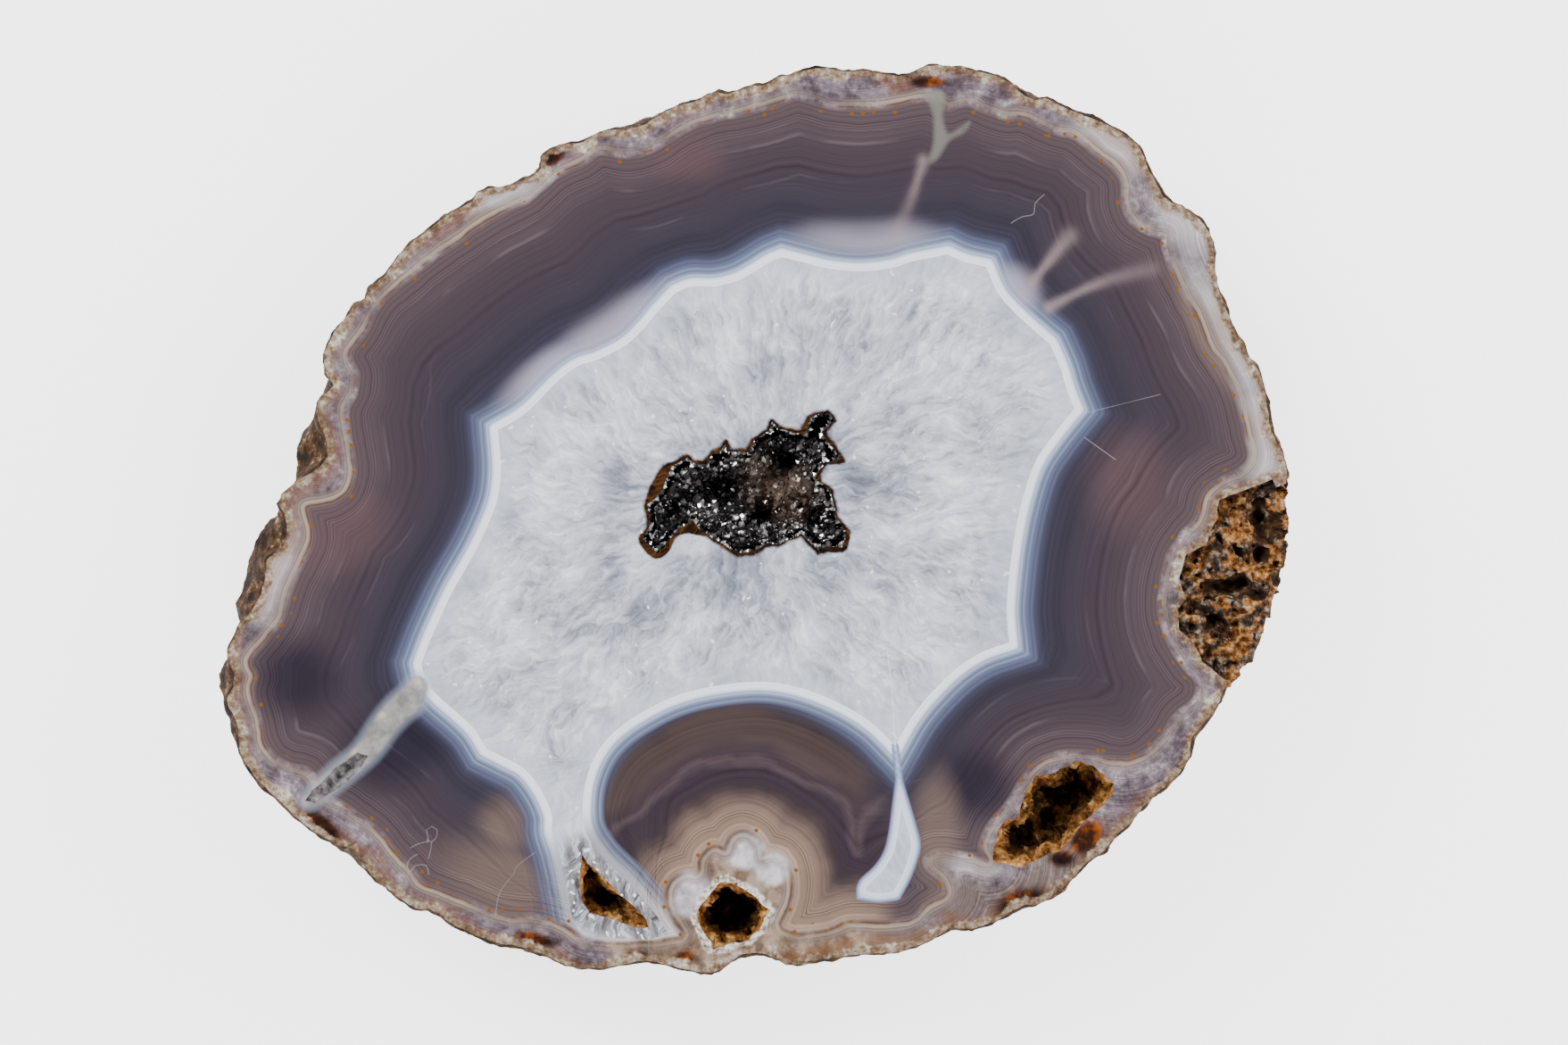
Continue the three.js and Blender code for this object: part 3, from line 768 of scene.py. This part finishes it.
def banded_chalcedony():
    """Banded chalcedony, sawn and polished: fine parallel layers, grey-plum to slate blue, glassy."""
    material, tree = new_material("polished_banded_chalcedony")
    field = {name: add(tree, "Attribute", {"attribute_name": name}, output="Fac") for name in (
        "core", "bed", "layer", "rim", "eye", "haze", "pocket", "slate", "rose", "taupe",
        "pit", "beam", "pale_rim", "dome", "amber", "vein", "flaw", "crack")}
    core, bed, layer, rim = (field[name] for name in ("core", "bed", "layer", "rim"))
    eye, haze, pocket = (field[name] for name in ("eye", "haze", "pocket"))
    position = add(tree, "TexCoord", {}, {}, "Object")
    drift = add(tree, "TexNoise", {}, {"Vector": position, "Scale": 90.0, "Detail": 3.0})
    mottle = add(tree, "TexNoise", {}, {
        "Vector": position, "Scale": 300.0, "Detail": 6.0, "Roughness": 0.62})
    grit = add(tree, "TexNoise", {}, {
        "Vector": position, "Scale": 1100.0, "Detail": 5.0, "Roughness": 0.7})
    # The body's tone by depth: plum near the rind, slate near the quartz; the eye has its own order
    body = add(tree, "ValToRGB", {"stops": [
        (0.0, "#544749"), (0.12, "#4d4146"), (0.28, "#453a41"), (0.45, "#3e353e"),
        (0.65, "#37323d"), (0.85, "#353342"), (1.0, "#38394c")]}, {"Fac": layer})
    for name, tint, amount in (("slate", "#241f2d", 0.8), ("rose", "#574448", 0.75),
                               ("taupe", "#6e5d56", 0.8)):
        mask = add(tree, "Math", {"operation": "MULTIPLY"}, {0: field[name], 1: amount})
        body = add(tree, "Mix", RGBA, {"Factor": mask, "A": body, "B": colour(tint)})
    eye_span = 24.0
    uneven = add(tree, "Math", {"operation": "MULTIPLY_ADD"}, {0: drift, 1: 0.3, 2: -0.15})
    eye_depth = add(tree, "Math", {"operation": "MULTIPLY_ADD"}, {0: bed, 1: 1 / eye_span, 2: uneven})
    eye_body = add(tree, "ValToRGB", {"stops": [
        (mm / eye_span, tone) for mm, tone in (
            (0.0, "#a0887a"), (1.2, "#8a7264"), (3.2, "#7c675c"), (5.0, "#66554f"), (6.4, "#483c3c"),
            (7.4, "#3a3036"), (9.6, "#372d37"), (10.8, "#4d4145"), (11.6, "#3d3238"), (13.5, "#493d3d"),
            (16.5, "#463a38"), (18.6, "#382e34"), (24.0, "#38313c"))]}, {"Fac": eye_depth})
    body = add(tree, "Mix", RGBA, {"Factor": eye, "A": body, "B": eye_body})

    # Fine layers: noise along the depth alone, so that a layer keeps its tone all the way round
    strength = add(tree, "MapRange", {}, {
        "Value": drift, "From Min": 0.35, "From Max": 0.65, "To Min": 0.45, "To Max": 1.3})
    patchy = add(tree, "MapRange", SMOOTH, {"Value": drift, "From Min": 0.44, "From Max": 0.62})
    outside_eye = add(tree, "Math", {"operation": "MULTIPLY_ADD"}, {0: eye, 1: -1.5, 2: patchy})
    outside_eye = add(tree, "Math", {"operation": "MAXIMUM"}, {0: outside_eye, 1: 0.0})
    outer = add(tree, "MapRange", SMOOTH, {"Value": bed, "From Min": 7.5, "From Max": 1.0})
    by_core = add(tree, "MapRange", SMOOTH, {"Value": core, "From Min": 6.0, "From Max": 2.0})
    in_eye = add(tree, "Math", {"operation": "MULTIPLY"}, {0: eye, 1: outer})
    total = 1.0
    for along, scale, amount, mask in ((layer, 8.0, 0.5, strength), (layer, 34.0, 0.3, strength),
                                       (layer, 130.0, 0.3, strength), (bed, 0.55, 0.5, outer),
                                       (bed, 2.2, 1.2, outer), (bed, 5.0, 1.0, outer),
                                       (core, 2.6, 1.1, by_core), (bed, 1.2, 1.6, in_eye)):
        line = add(tree, "TexNoise", {"noise_dimensions": "1D"},
                   {"W": along, "Scale": scale, "Detail": 1.0})
        line = add(tree, "Math", {"operation": "MULTIPLY_ADD"}, {0: line, 1: amount, 2: -amount / 2})
        total = add(tree, "Math", {"operation": "MULTIPLY_ADD"}, {0: line, 1: mask, 2: total})
    body = add(tree, "VectorMath", {"operation": "SCALE"}, {"Vector": body, "Scale": total})
    for depth, width, share in ((5.3, 0.4, 0.12), (10.7, 0.35, 0.05), (3.4, 0.25, 0.06)):
        line = add(tree, "Math", {"operation": "SUBTRACT"}, {0: bed, 1: depth})
        line = add(tree, "Math", {"operation": "ABSOLUTE"}, {0: line})
        line = add(tree, "MapRange", SMOOTH,
                   {"Value": line, "From Min": width, "From Max": 0.0, "To Max": share})
        line = add(tree, "Math", {"operation": "MULTIPLY"}, {0: line, 1: outside_eye})
        body = add(tree, "Mix", RGBA, {"Factor": line, "A": body, "B": colour("#a89b9e")})

    # Towards the quartz the layers turn slate blue, then milky white
    core_span = 8.0
    to_core = add(tree, "Math", {"operation": "MULTIPLY"}, {0: core, 1: 1 / core_span})
    blue = add(tree, "ValToRGB", {"stops": [
        (mm / core_span, tone) for mm, tone in (
            (0.0, "#f0f5ff"), (0.85, "#e6edfb"), (1.05, "#d5ddee"), (1.2, "#a5b0c8"), (1.5, "#a6b1c8"),
            (1.75, "#76829f"), (2.1, "#6a7590"), (2.35, "#7a859f"), (2.6, "#5c647f"), (3.2, "#4f546c"),
            (3.5, "#595f77"), (3.8, "#484b61"), (5.0, "#3f3d50"), (8.0, "#393645"))]}, {"Fac": to_core})
    core_mask = add(tree, "MapRange", SMOOTH, {"Value": core, "From Min": 5.5, "From Max": 2.6})
    eye_rim = add(tree, "MapRange", SMOOTH, {"Value": core, "From Min": 3.0, "From Max": 2.7})
    core_mask = add(tree, "Mix", {}, {"Factor": eye, "A": core_mask, "B": eye_rim})
    by_slit = add(tree, "MapRange", SMOOTH,
                  {"Value": field["pit"], "From Min": 2.0, "From Max": 7.0, "To Min": 0.3, "To Max": 1.0})
    core_mask = add(tree, "Math", {"operation": "MULTIPLY"}, {0: core_mask, 1: by_slit})
    blue = add(tree, "Mix", RGBA, {
        "Factor": by_core, "A": blue, "B": add(tree, "VectorMath", {"operation": "SCALE"}, {
            "Vector": blue, "Scale": add(tree, "Math", {"operation": "MINIMUM"}, {0: total, 1: 1.12})})})
    body = add(tree, "Mix", RGBA, {"Factor": core_mask, "A": body, "B": blue})
    veil = add(tree, "MapRange", SMOOTH,
               {"Value": core, "From Min": 9.0, "From Max": 2.0, "To Max": 0.8})
    veil = add(tree, "Math", {"operation": "MULTIPLY"}, {0: veil, 1: haze})
    off_white = add(tree, "MapRange", SMOOTH, {"Value": core, "From Min": 1.2, "From Max": 2.2})
    veil = add(tree, "Math", {"operation": "MULTIPLY"}, {0: veil, 1: off_white})
    body = add(tree, "Mix", RGBA, {"Factor": veil, "A": body, "B": colour("#aaa5b5")})
    beam = add(tree, "Math", {"operation": "MULTIPLY"}, {0: field["beam"], 1: strength})
    body = add(tree, "Mix", RGBA, {"Factor": beam, "A": body, "B": colour("#988788")})
    pocket_edge = add(tree, "ValToRGB", {"stops": [
        (0.0, "#e6eefc"), (0.55, "#cbd5ea"), (0.75, "#8c9abc"), (1.0, "#6a6a80")]}, {
        "Fac": add(tree, "Math", {"operation": "MULTIPLY"}, {0: pocket, 1: 0.72})})
    pocket_mask = add(tree, "MapRange", SMOOTH, {"Value": pocket, "From Min": 1.5, "From Max": 1.15})
    body = add(tree, "Mix", RGBA, {"Factor": pocket_mask, "A": body, "B": pocket_edge})

    # Outside the banded body: a clear layer, mottled grey and lilac, paler in places, rust-stained
    clear = add(tree, "ValToRGB", {"stops": [
        (0.34, "#372d33"), (0.45, "#594d55"), (0.54, "#7b6f77"), (0.66, "#b5acac")]}, {
        "Fac": add(tree, "Mix", {}, {"Factor": 0.35, "A": mottle, "B": grit})})
    pale = add(tree, "Math", {"operation": "MULTIPLY"}, {0: field["pale_rim"], 1: 0.75})
    clear = add(tree, "Mix", RGBA, {"Factor": pale, "A": clear, "B": colour("#c6c0c3")})
    beige = add(tree, "Math", {"operation": "MULTIPLY"}, {0: field["taupe"], 1: 0.75})
    clear = add(tree, "Mix", RGBA, {"Factor": beige, "A": clear, "B": colour("#6a5b52")})
    clear = add(tree, "Mix", RGBA, {
        "Factor": eye, "A": clear, "B": add(tree, "ValToRGB", {"stops": [
            (0.38, "#4f4138"), (0.5, "#755f50"), (0.62, "#a08b7a")]}, {"Fac": mottle})})
    clear = add(tree, "Mix", RGBA, {
        "Factor": field["dome"], "A": clear, "B": add(tree, "ValToRGB", {"stops": [
            (0.36, "#938b92"), (0.5, "#bcb5bc"), (0.6, "#d8d3d8")]}, {"Fac": mottle})})
    stain = add(tree, "Math", {"operation": "MULTIPLY_ADD"}, {0: drift, 1: -9.0, 2: rim})
    stain = add(tree, "MapRange", SMOOTH,
                {"Value": stain, "From Min": -2.2, "From Max": -4.2, "To Max": 0.32})
    clear = add(tree, "Mix", RGBA, {"Factor": stain, "A": clear, "B": colour("#8d5a2a")})
    plain = add(tree, "Mix", {}, {"Factor": eye, "A": total, "B": 1.0})
    clear = add(tree, "VectorMath", {"operation": "SCALE"}, {"Vector": clear, "Scale": plain})
    ring = add(tree, "Math", {"operation": "MULTIPLY_ADD"}, {0: mottle, 1: -2.4, 2: field["pit"]})
    ring = add(tree, "MapRange", SMOOTH, {"Value": ring, "From Min": -0.3, "From Max": -0.7})
    ring = add(tree, "Math", {"operation": "MULTIPLY"}, {0: ring, 1: eye})
    clear = add(tree, "Mix", RGBA, {
        "Factor": ring, "A": clear, "B": add(tree, "ValToRGB", {"stops": [
            (0.36, "#4a3a2c"), (0.46, "#a8988a"), (0.58, "#e6e2df")]}, {"Fac": grit})})
    amber = add(tree, "ValToRGB", {"stops": [
        (0.35, "#0d080c"), (0.5, "#33190f"), (0.65, "#8f470c")]}, {"Fac": mottle})
    clear = add(tree, "Mix", RGBA, {"Factor": field["amber"], "A": clear, "B": amber})
    bed_span = 6.0
    beyond = add(tree, "MapRange", {}, {"Value": bed, "From Min": -4.0, "From Max": 2.0})
    cream = add(tree, "ValToRGB", {"stops": [
        ((mm + 4.0) / bed_span, tone) for mm, tone in (
            (-1.6, "#6e6267"), (-1.2, "#8f807a"), (-0.95, "#6b5d5d"), (-0.7, "#8d7c72"), (-0.5, "#6f605c"),
            (-0.3, "#a59384"), (-0.05, "#99887a"), (0.1, "#7c695e"), (0.25, "#4d382f"), (0.5, "#6d5850"),
            (0.7, "#4f3f42"), (1.0, "#54434a"))]}, {"Fac": beyond})
    cream_mask = add(tree, "MapRange", SMOOTH, {"Value": bed, "From Min": -1.5, "From Max": -0.5})
    cream_mask = add(tree, "Math", {"operation": "MULTIPLY", "use_clamp": True}, {
        0: cream_mask, 1: add(tree, "MapRange", {}, {
            "Value": drift, "From Min": 0.38, "From Max": 0.62, "To Min": 0.2, "To Max": 0.95})})
    outer_zone = add(tree, "Mix", RGBA, {"Factor": cream_mask, "A": clear, "B": cream})
    bed_mask = add(tree, "MapRange", SMOOTH, {"Value": bed, "From Min": 1.0, "From Max": 0.4})
    body = add(tree, "Mix", RGBA, {"Factor": bed_mask, "A": body, "B": outer_zone})

    # Rusty dots strung just inside the cream band
    cells = add(tree, "TexVoronoi", {"voronoi_dimensions": "2D"}, {
        "Vector": position, "Scale": 560.0}).node
    dot = add(tree, "MapRange", SMOOTH,
              {"Value": cells.outputs["Distance"], "From Min": 0.2, "From Max": 0.1})
    chosen = add(tree, "Math", {"operation": "GREATER_THAN"}, {0: cells.outputs["Color"], 1: 0.5})
    strung = add(tree, "Math", {"operation": "COMPARE"}, {0: bed, 1: 0.9, 2: 0.7})
    for part in (chosen, strung):
        dot = add(tree, "Math", {"operation": "MULTIPLY"}, {0: dot, 1: part})
    body = add(tree, "Mix", RGBA, {"Factor": dot, "A": body, "B": colour("#7f5019")})

    # Quartz-filled vein, forked flaw and hair cracks
    grain = add(tree, "ValToRGB", {"stops": [
        (0.38, "#7d7876"), (0.5, "#979391"), (0.58, "#a8a39e"), (0.64, "#c9b59e")]}, {"Fac": mottle})
    sheath = add(tree, "MapRange", SMOOTH,
                 {"Value": field["vein"], "From Min": -1.3, "From Max": 0.0, "To Max": 0.4})
    body = add(tree, "Mix", RGBA, {"Factor": sheath, "A": body, "B": colour("#97a2b4")})
    for name, tint, soft, share in (("vein", grain, 0.35, 0.9), ("flaw", colour("#7d7c74"), 0.5, 0.7)):
        mask = add(tree, "MapRange", SMOOTH,
                   {"Value": field[name], "From Min": -soft, "From Max": soft, "To Max": share})
        body = add(tree, "Mix", RGBA, {"Factor": mask, "A": body, "B": tint})
    crack = add(tree, "MapRange", SMOOTH,
                {"Value": field["crack"], "From Min": 0.11, "From Max": 0.0, "To Max": 0.26})
    crack = add(tree, "Math", {"operation": "MULTIPLY"}, {0: crack, 1: strength})
    body = add(tree, "Mix", RGBA, {"Factor": crack, "A": body, "B": colour("#c9c4c4")})

    # The chipped edge, where the rusty rind shows
    chips = add(tree, "Math", {"operation": "MULTIPLY_ADD"}, {0: mottle, 1: -4.0, 2: rim})
    rind = add(tree, "MapRange", SMOOTH, {"Value": chips, "From Min": -0.7, "From Max": -1.3})
    crust = add(tree, "ValToRGB", {"stops": [
        (0.34, "#1d120a"), (0.43, "#583b22"), (0.5, "#7d644a"), (0.57, "#a39685"), (0.66, "#d8d0c4")]}, {
        "Fac": add(tree, "Mix", {}, {"Factor": 0.55, "A": mottle, "B": grit})})
    body = add(tree, "Mix", RGBA, {"Factor": rind, "A": body, "B": crust})
    gloss = add(tree, "MapRange", {}, {"Value": rind, "To Min": 0.15, "To Max": 0.75})
    bump = add(tree, "Bump", {}, {"Strength": rind, "Distance": 0.0006, "Height": mottle})
    shader = add(tree, "BsdfPrincipled", {}, {
        "Base Color": body, "Roughness": gloss, "IOR": 1.54, "Normal": bump})
    add(tree, "OutputMaterial", {}, {"Surface": shader})
    return material


def milky_quartz():
    """Milky quartz, polished: interlocked crystals, each a bundle of pale grey feathers."""
    material, tree = new_material("polished_milky_quartz")
    field = {name: add(tree, "Attribute", {"attribute_name": name}, output="Fac") for name in (
        "core", "vug", "vug_shade", "lip", "pit", "crack")}
    position = add(tree, "TexCoord", {}, {}, "Object")
    core, vug = field["core"], field["vug"]
    middle = [*(place(VUG_MIDDLE) * MM), FACE_Z * MM]
    warp = add(tree, "TexNoise", {}, {"Vector": position, "Scale": 260.0, "Detail": 4.0}, "Color")
    warp = add(tree, "VectorMath", {"operation": "SUBTRACT"}, {0: warp, 1: (0.5, 0.5, 0.5)})
    warp = add(tree, "VectorMath", {"operation": "SCALE"}, {"Vector": warp, "Scale": 0.004})
    bent = add(tree, "VectorMath", {"operation": "ADD"}, {0: position, 1: warp})
    # Each cell is one crystal: its feathers run roughly from the wall towards the vug
    tones = []
    for size, fine in ((11.0, 1.0), (5.0, 2.2)):
        cells = add(tree, "TexVoronoi", {}, {"Vector": bent, "Scale": 1 / (size * MM)}).node
        lean = add(tree, "Math", {"operation": "MULTIPLY_ADD"},
                   {0: cells.outputs["Color"], 1: 1.5, 2: -0.75})
        ray = add(tree, "VectorMath", {"operation": "SUBTRACT"}, {0: position, 1: middle})
        ray = add(tree, "VectorMath", {"operation": "NORMALIZE"}, {0: ray})
        ray = add(tree, "VectorRotate", {"rotation_type": "Z_AXIS"}, {"Vector": ray, "Angle": lean})
        across = add(tree, "VectorMath", {"operation": "CROSS_PRODUCT"}, {0: ray, 1: (0, 0, 1)})
        offset = add(tree, "VectorMath", {"operation": "SUBTRACT"},
                     {0: bent, 1: cells.outputs["Position"]})
        x = add(tree, "VectorMath", {"operation": "DOT_PRODUCT"}, {0: offset, 1: ray}, "Value")
        y = add(tree, "VectorMath", {"operation": "DOT_PRODUCT"}, {0: offset, 1: across}, "Value")
        x = add(tree, "Math", {"operation": "MULTIPLY"}, {0: x, 1: 120.0 * fine})
        y = add(tree, "Math", {"operation": "MULTIPLY"}, {0: y, 1: 620.0 * fine})
        z = add(tree, "Math", {"operation": "MULTIPLY"}, {0: cells.outputs["Color"], 1: 40.0})
        spot = add(tree, "CombineXYZ", {}, {"X": x, "Y": y, "Z": z})
        tones.append(add(tree, "TexNoise", {}, {
            "Vector": spot, "Scale": 1.0, "Detail": 5.0, "Roughness": 0.62, "Distortion": 0.3}))
    clouds = add(tree, "TexNoise", {}, {
        "Vector": position, "Scale": 130.0, "Detail": 6.0, "Roughness": 0.65})
    tone = add(tree, "Mix", {}, {"Factor": 0.5, "A": tones[0], "B": tones[1]})
    tone = add(tree, "Mix", {}, {"Factor": 0.42, "A": tone, "B": clouds})
    shade = add(tree, "Math", {"operation": "MULTIPLY_ADD"}, {0: field["vug_shade"], 1: -0.06, 2: tone})
    near_vug = add(tree, "MapRange", SMOOTH,
                   {"Value": vug, "From Min": 14.0, "From Max": 1.0, "To Max": 0.04})
    shade = add(tree, "Math", {"operation": "SUBTRACT"}, {0: shade, 1: near_vug})
    base = add(tree, "ValToRGB", {"stops": [
        (0.33, "#6a6f7b"), (0.41, "#9499a6"), (0.48, "#bcc1cd"), (0.54, "#d6dbe6"), (0.62, "#ffffff")]},
        {"Fac": shade})
    wall = add(tree, "MapRange", SMOOTH,
               {"Value": core, "From Min": -5.0, "From Max": -0.3, "To Max": 0.6})
    base = add(tree, "Mix", RGBA, {"Factor": wall, "A": base, "B": colour("#bcc5d6")})
    rust = add(tree, "Math", {"operation": "MULTIPLY_ADD"}, {0: clouds, 1: 1.6, 2: vug})
    rust = add(tree, "MapRange", SMOOTH,
               {"Value": add(tree, "Math", {"operation": "MULTIPLY_ADD"}, {
                   0: field["lip"], 1: -1.1, 2: rust}), "From Min": 1.6, "From Max": 1.05})
    base = add(tree, "Mix", RGBA,
               {"Factor": rust, "A": base, "B": add(tree, "ValToRGB", {"stops": [
                   (0.4, "#120803"), (0.5, "#291507"), (0.62, "#4d2f14")]}, {"Fac": tones[1]})})
    cells = add(tree, "TexVoronoi", {"voronoi_dimensions": "2D"}, {"Vector": bent, "Scale": 700.0}).node
    druzy = add(tree, "MapRange", SMOOTH, {"Value": field["pit"], "From Min": 4.0, "From Max": 1.2})
    base = add(tree, "Mix", RGBA, {
        "Factor": druzy, "A": base, "B": add(tree, "ValToRGB", {"stops": [
            (0.35, "#4a4648"), (0.5, "#84828a"), (0.65, "#c9ccd4")]}, {"Fac": tones[1]})})
    # Small white flecks, painted glints of the quartz crystals, with more of them near the druzy pits
    glint_fleck = add(tree, "MapRange", SMOOTH,
                {"Value": cells.outputs["Distance"], "From Min": 0.2, "From Max": 0.1})
    rare = add(tree, "Math", {"operation": "MULTIPLY_ADD"}, {0: druzy, 1: -0.35, 2: 0.84})
    chosen = add(tree, "Math", {"operation": "GREATER_THAN"}, {0: cells.outputs["Color"], 1: rare})
    glint_fleck = add(tree, "Math", {"operation": "MULTIPLY"}, {0: glint_fleck, 1: chosen})
    base = add(tree, "Mix", RGBA, {"Factor": glint_fleck, "A": base, "B": colour("#f6f8fb")})
    crack = add(tree, "MapRange", SMOOTH,
                {"Value": field["crack"], "From Min": 0.18, "From Max": 0.0, "To Max": 0.6})
    base = add(tree, "Mix", RGBA, {"Factor": crack, "A": base, "B": colour("#f2f4f7")})
    shader = add(tree, "BsdfPrincipled", {}, {"Base Color": base, "Roughness": 0.18, "IOR": 1.54})
    add(tree, "OutputMaterial", {}, {"Surface": shader})
    return material


def weathered(name, tones, size, roughness, shade_depth=None, darkest_shade=0.06, soot=False):
    """A rough, stained stone surface in several tones, with painted shade that deepens below the face."""
    material, tree = new_material(name)
    position = add(tree, "TexCoord", {}, {}, "Object")
    spots = add(tree, "TexNoise", {}, {
        "Vector": position, "Scale": 1 / (size * MM), "Detail": 8.0, "Roughness": 0.68})
    stops = [(0.32 + 0.36 * i / (len(tones) - 1), tone) for i, tone in enumerate(tones)]
    base = add(tree, "ValToRGB", {"stops": stops}, {"Fac": spots})
    if soot:
        patches = add(tree, "TexNoise", {}, {
            "Vector": position, "Scale": 0.4 / (size * MM), "Detail": 5.0, "Roughness": 0.7})
        mask = add(tree, "MapRange", SMOOTH,
                   {"Value": patches, "From Min": 0.46, "From Max": 0.55, "To Max": 0.9})
        base = add(tree, "Mix", RGBA, {
            "Factor": mask, "A": base, "B": add(tree, "ValToRGB", {"stops": [
                (0.4, "#15110f"), (0.52, "#4d443d"), (0.64, "#a39a92")]}, {"Fac": spots})})
    # Painted shade: the colour darkens with depth below the face, broken up by noise, in place of the shade
    # inside hollows and pores
    if shade_depth:
        height = add(tree, "SeparateXYZ", {}, {"Vector": position}, "Z")
        lumps = add(tree, "TexNoise", {}, {
            "Vector": position, "Scale": 0.5 / (size * MM), "Detail": 4.0, "Roughness": 0.6})
        below = add(tree, "Math", {"operation": "MULTIPLY_ADD"},
                    {0: lumps, 1: 2.0 * shade_depth * MM, 2: height})
        light = add(tree, "MapRange", SMOOTH, {
            "Value": below, "From Min": (FACE_Z + 0.1 * shade_depth) * MM, "From Max": (FACE_Z + 0.95 * shade_depth) * MM,
            "To Min": darkest_shade, "To Max": 1.0})
        base = add(tree, "VectorMath", {"operation": "SCALE"}, {"Vector": base, "Scale": light})
    bump = add(tree, "Bump", {}, {"Strength": 0.9, "Distance": 0.0008, "Height": spots})
    shader = add(tree, "BsdfPrincipled", {}, {
        "Base Color": base, "Roughness": roughness, "Specular IOR Level": 0.2, "Normal": bump})
    add(tree, "OutputMaterial", {}, {"Surface": shader})
    return material


def dark_druse():
    """Small dark crystals, near black with grey and tan faces; the lightest tones, near white and metallic,
    are painted glints and painted light near the vug's edge.
    """
    material, tree = new_material("dark_druse")
    field = {name: add(tree, "Attribute", {"attribute_name": name}, output="Fac") for name in (
        "tone", "ridge")}
    tone, ridge = field["tone"], field["ridge"]
    position = add(tree, "TexCoord", {}, {}, "Object")
    grain = add(tree, "TexNoise", {}, {"Vector": position, "Scale": 900.0, "Detail": 4.0})
    dark = add(tree, "ValToRGB", {"stops": [
        (0.0, "#060506"), (0.35, "#171415"), (0.6, "#454042"), (0.82, "#85807f"), (1.0, "#efedec")]},
        {"Fac": tone})
    tan = add(tree, "ValToRGB", {"stops": [
        (0.0, "#241b16"), (0.4, "#786559"), (1.0, "#cbb5a0")]}, {"Fac": tone})
    base = add(tree, "Mix", RGBA, {"Factor": ridge, "A": dark, "B": tan})
    base = add(tree, "Mix", {"data_type": "RGBA", "blend_type": "OVERLAY"},
               {"Factor": 0.7, "A": base, "B": grain})
    shader = add(tree, "BsdfPrincipled", {}, {
        "Base Color": base, "Roughness": 0.16, "IOR": 1.7, "Metallic": add(tree, "MapRange", {}, {
            "Value": tone, "From Min": 0.55, "From Max": 0.8, "To Max": 0.8})})
    add(tree, "OutputMaterial", {}, {"Surface": shader})
    return material


stone = agate_stone()
for finish in (
    banded_chalcedony(),
    milky_quartz(),
    weathered("weathered_rind", ("#080402", "#1e1107", "#38210f", "#5c4129", "#a59684"), 1.8, 0.85),
    # The iron oxide lining and the host rock get painted shade, darker with depth below the face
    weathered("iron_oxide_lining", ("#241206", "#8a5522", "#c48d48", "#f0d2a0"), 1.4, 0.6, 12.0, 0.08),
    weathered("spongy_host_rock", ("#1c0d04", "#6b3d13", "#b57c42", "#ecc89c"), 1.1, 0.85, 5.0, 0.04, True),
    weathered("rough_grey_quartz", ("#4a4648", "#8c8588", "#c4bfc2"), 1.5, 0.45),
    weathered("vug_wall", ("#050404", "#171210", "#3a2a1c"), 1.5, 0.4),
    weathered("sawn_back", ("#4b4147", "#62565b", "#7d7170"), 6.0, 0.6),
):
    stone.data.materials.append(finish)
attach(stone, "root")
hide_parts("agate_slice")

druse = druse_crystals()
druse.data.materials.append(dark_druse())
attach(druse, "root")
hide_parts("druse_crust")


# Floor, light and camera

def stage():
    """A pale floor, a white sky and three soft lights."""
    bpy.ops.object.select_all(action="DESELECT")
    bpy.ops.mesh.primitive_plane_add(size=6.0, location=(0, 0, slab_low.z - 0.3 * MM))
    floor = bpy.context.object
    floor.name = "floor"
    material, tree = new_material("pale_floor")
    shader = add(tree, "BsdfPrincipled", {}, {
        "Base Color": colour("#f4f4f3"), "Roughness": 0.9,
        "Emission Color": colour("#ffffff"), "Emission Strength": 2.4})
    add(tree, "OutputMaterial", {}, {"Surface": shader})
    floor.data.materials.append(material)
    world = bpy.data.worlds.new("studio")
    bpy.context.scene.world = world
    world.use_nodes = True
    tree = world.node_tree
    tree.nodes.clear()
    direction = add(tree, "TexCoord", {}, {}, "Generated")
    height = add(tree, "SeparateXYZ", {}, {"Vector": direction}, "Z")
    glow = add(tree, "MapRange", SMOOTH,
               {"Value": height, "From Min": 0.25, "From Max": 0.85, "To Min": 0.85, "To Max": 0.1})
    sky = add(tree, "Background", {}, {"Color": colour("#ffffff"), "Strength": glow})
    add(tree, "OutputWorld", {}, {"Surface": sky})
    for name, spot, power, size in (
        ("key", (-0.55, 0.5, 0.65), 12.0, 0.5),
        ("fill", (0.65, 0.25, 0.5), 7.0, 0.6),
        ("low", (0.1, -0.7, 0.45), 5.0, 0.6),
    ):
        bpy.ops.object.light_add(type="AREA", location=spot)
        light = bpy.context.object
        light.name = name
        light.data.energy = power
        light.data.size = size
        aim = Vector((0, 0, 0.01)) - Vector(spot)
        light.rotation_euler = aim.to_track_quat("-Z", "Y").to_euler()


def camera():
    """A long lens straight above, framed as the picture is."""
    centre = place([(PICTURE_WIDTH / 2, PICTURE_HEIGHT / 2)])[0]
    view_width = PICTURE_WIDTH * MM_PER_POINT
    distance = view_width * CAMERA_LENS / SENSOR_WIDTH
    data = bpy.data.cameras.new("camera")
    data.lens = CAMERA_LENS
    data.sensor_width = SENSOR_WIDTH
    data.clip_end = 20.0
    eye = bpy.data.objects.new("camera", data)
    eye.location = (centre[0] * MM, centre[1] * MM, (FACE_Z + distance) * MM)
    bpy.context.scene.collection.objects.link(eye)
    bpy.context.scene.camera = eye


stage()
camera()
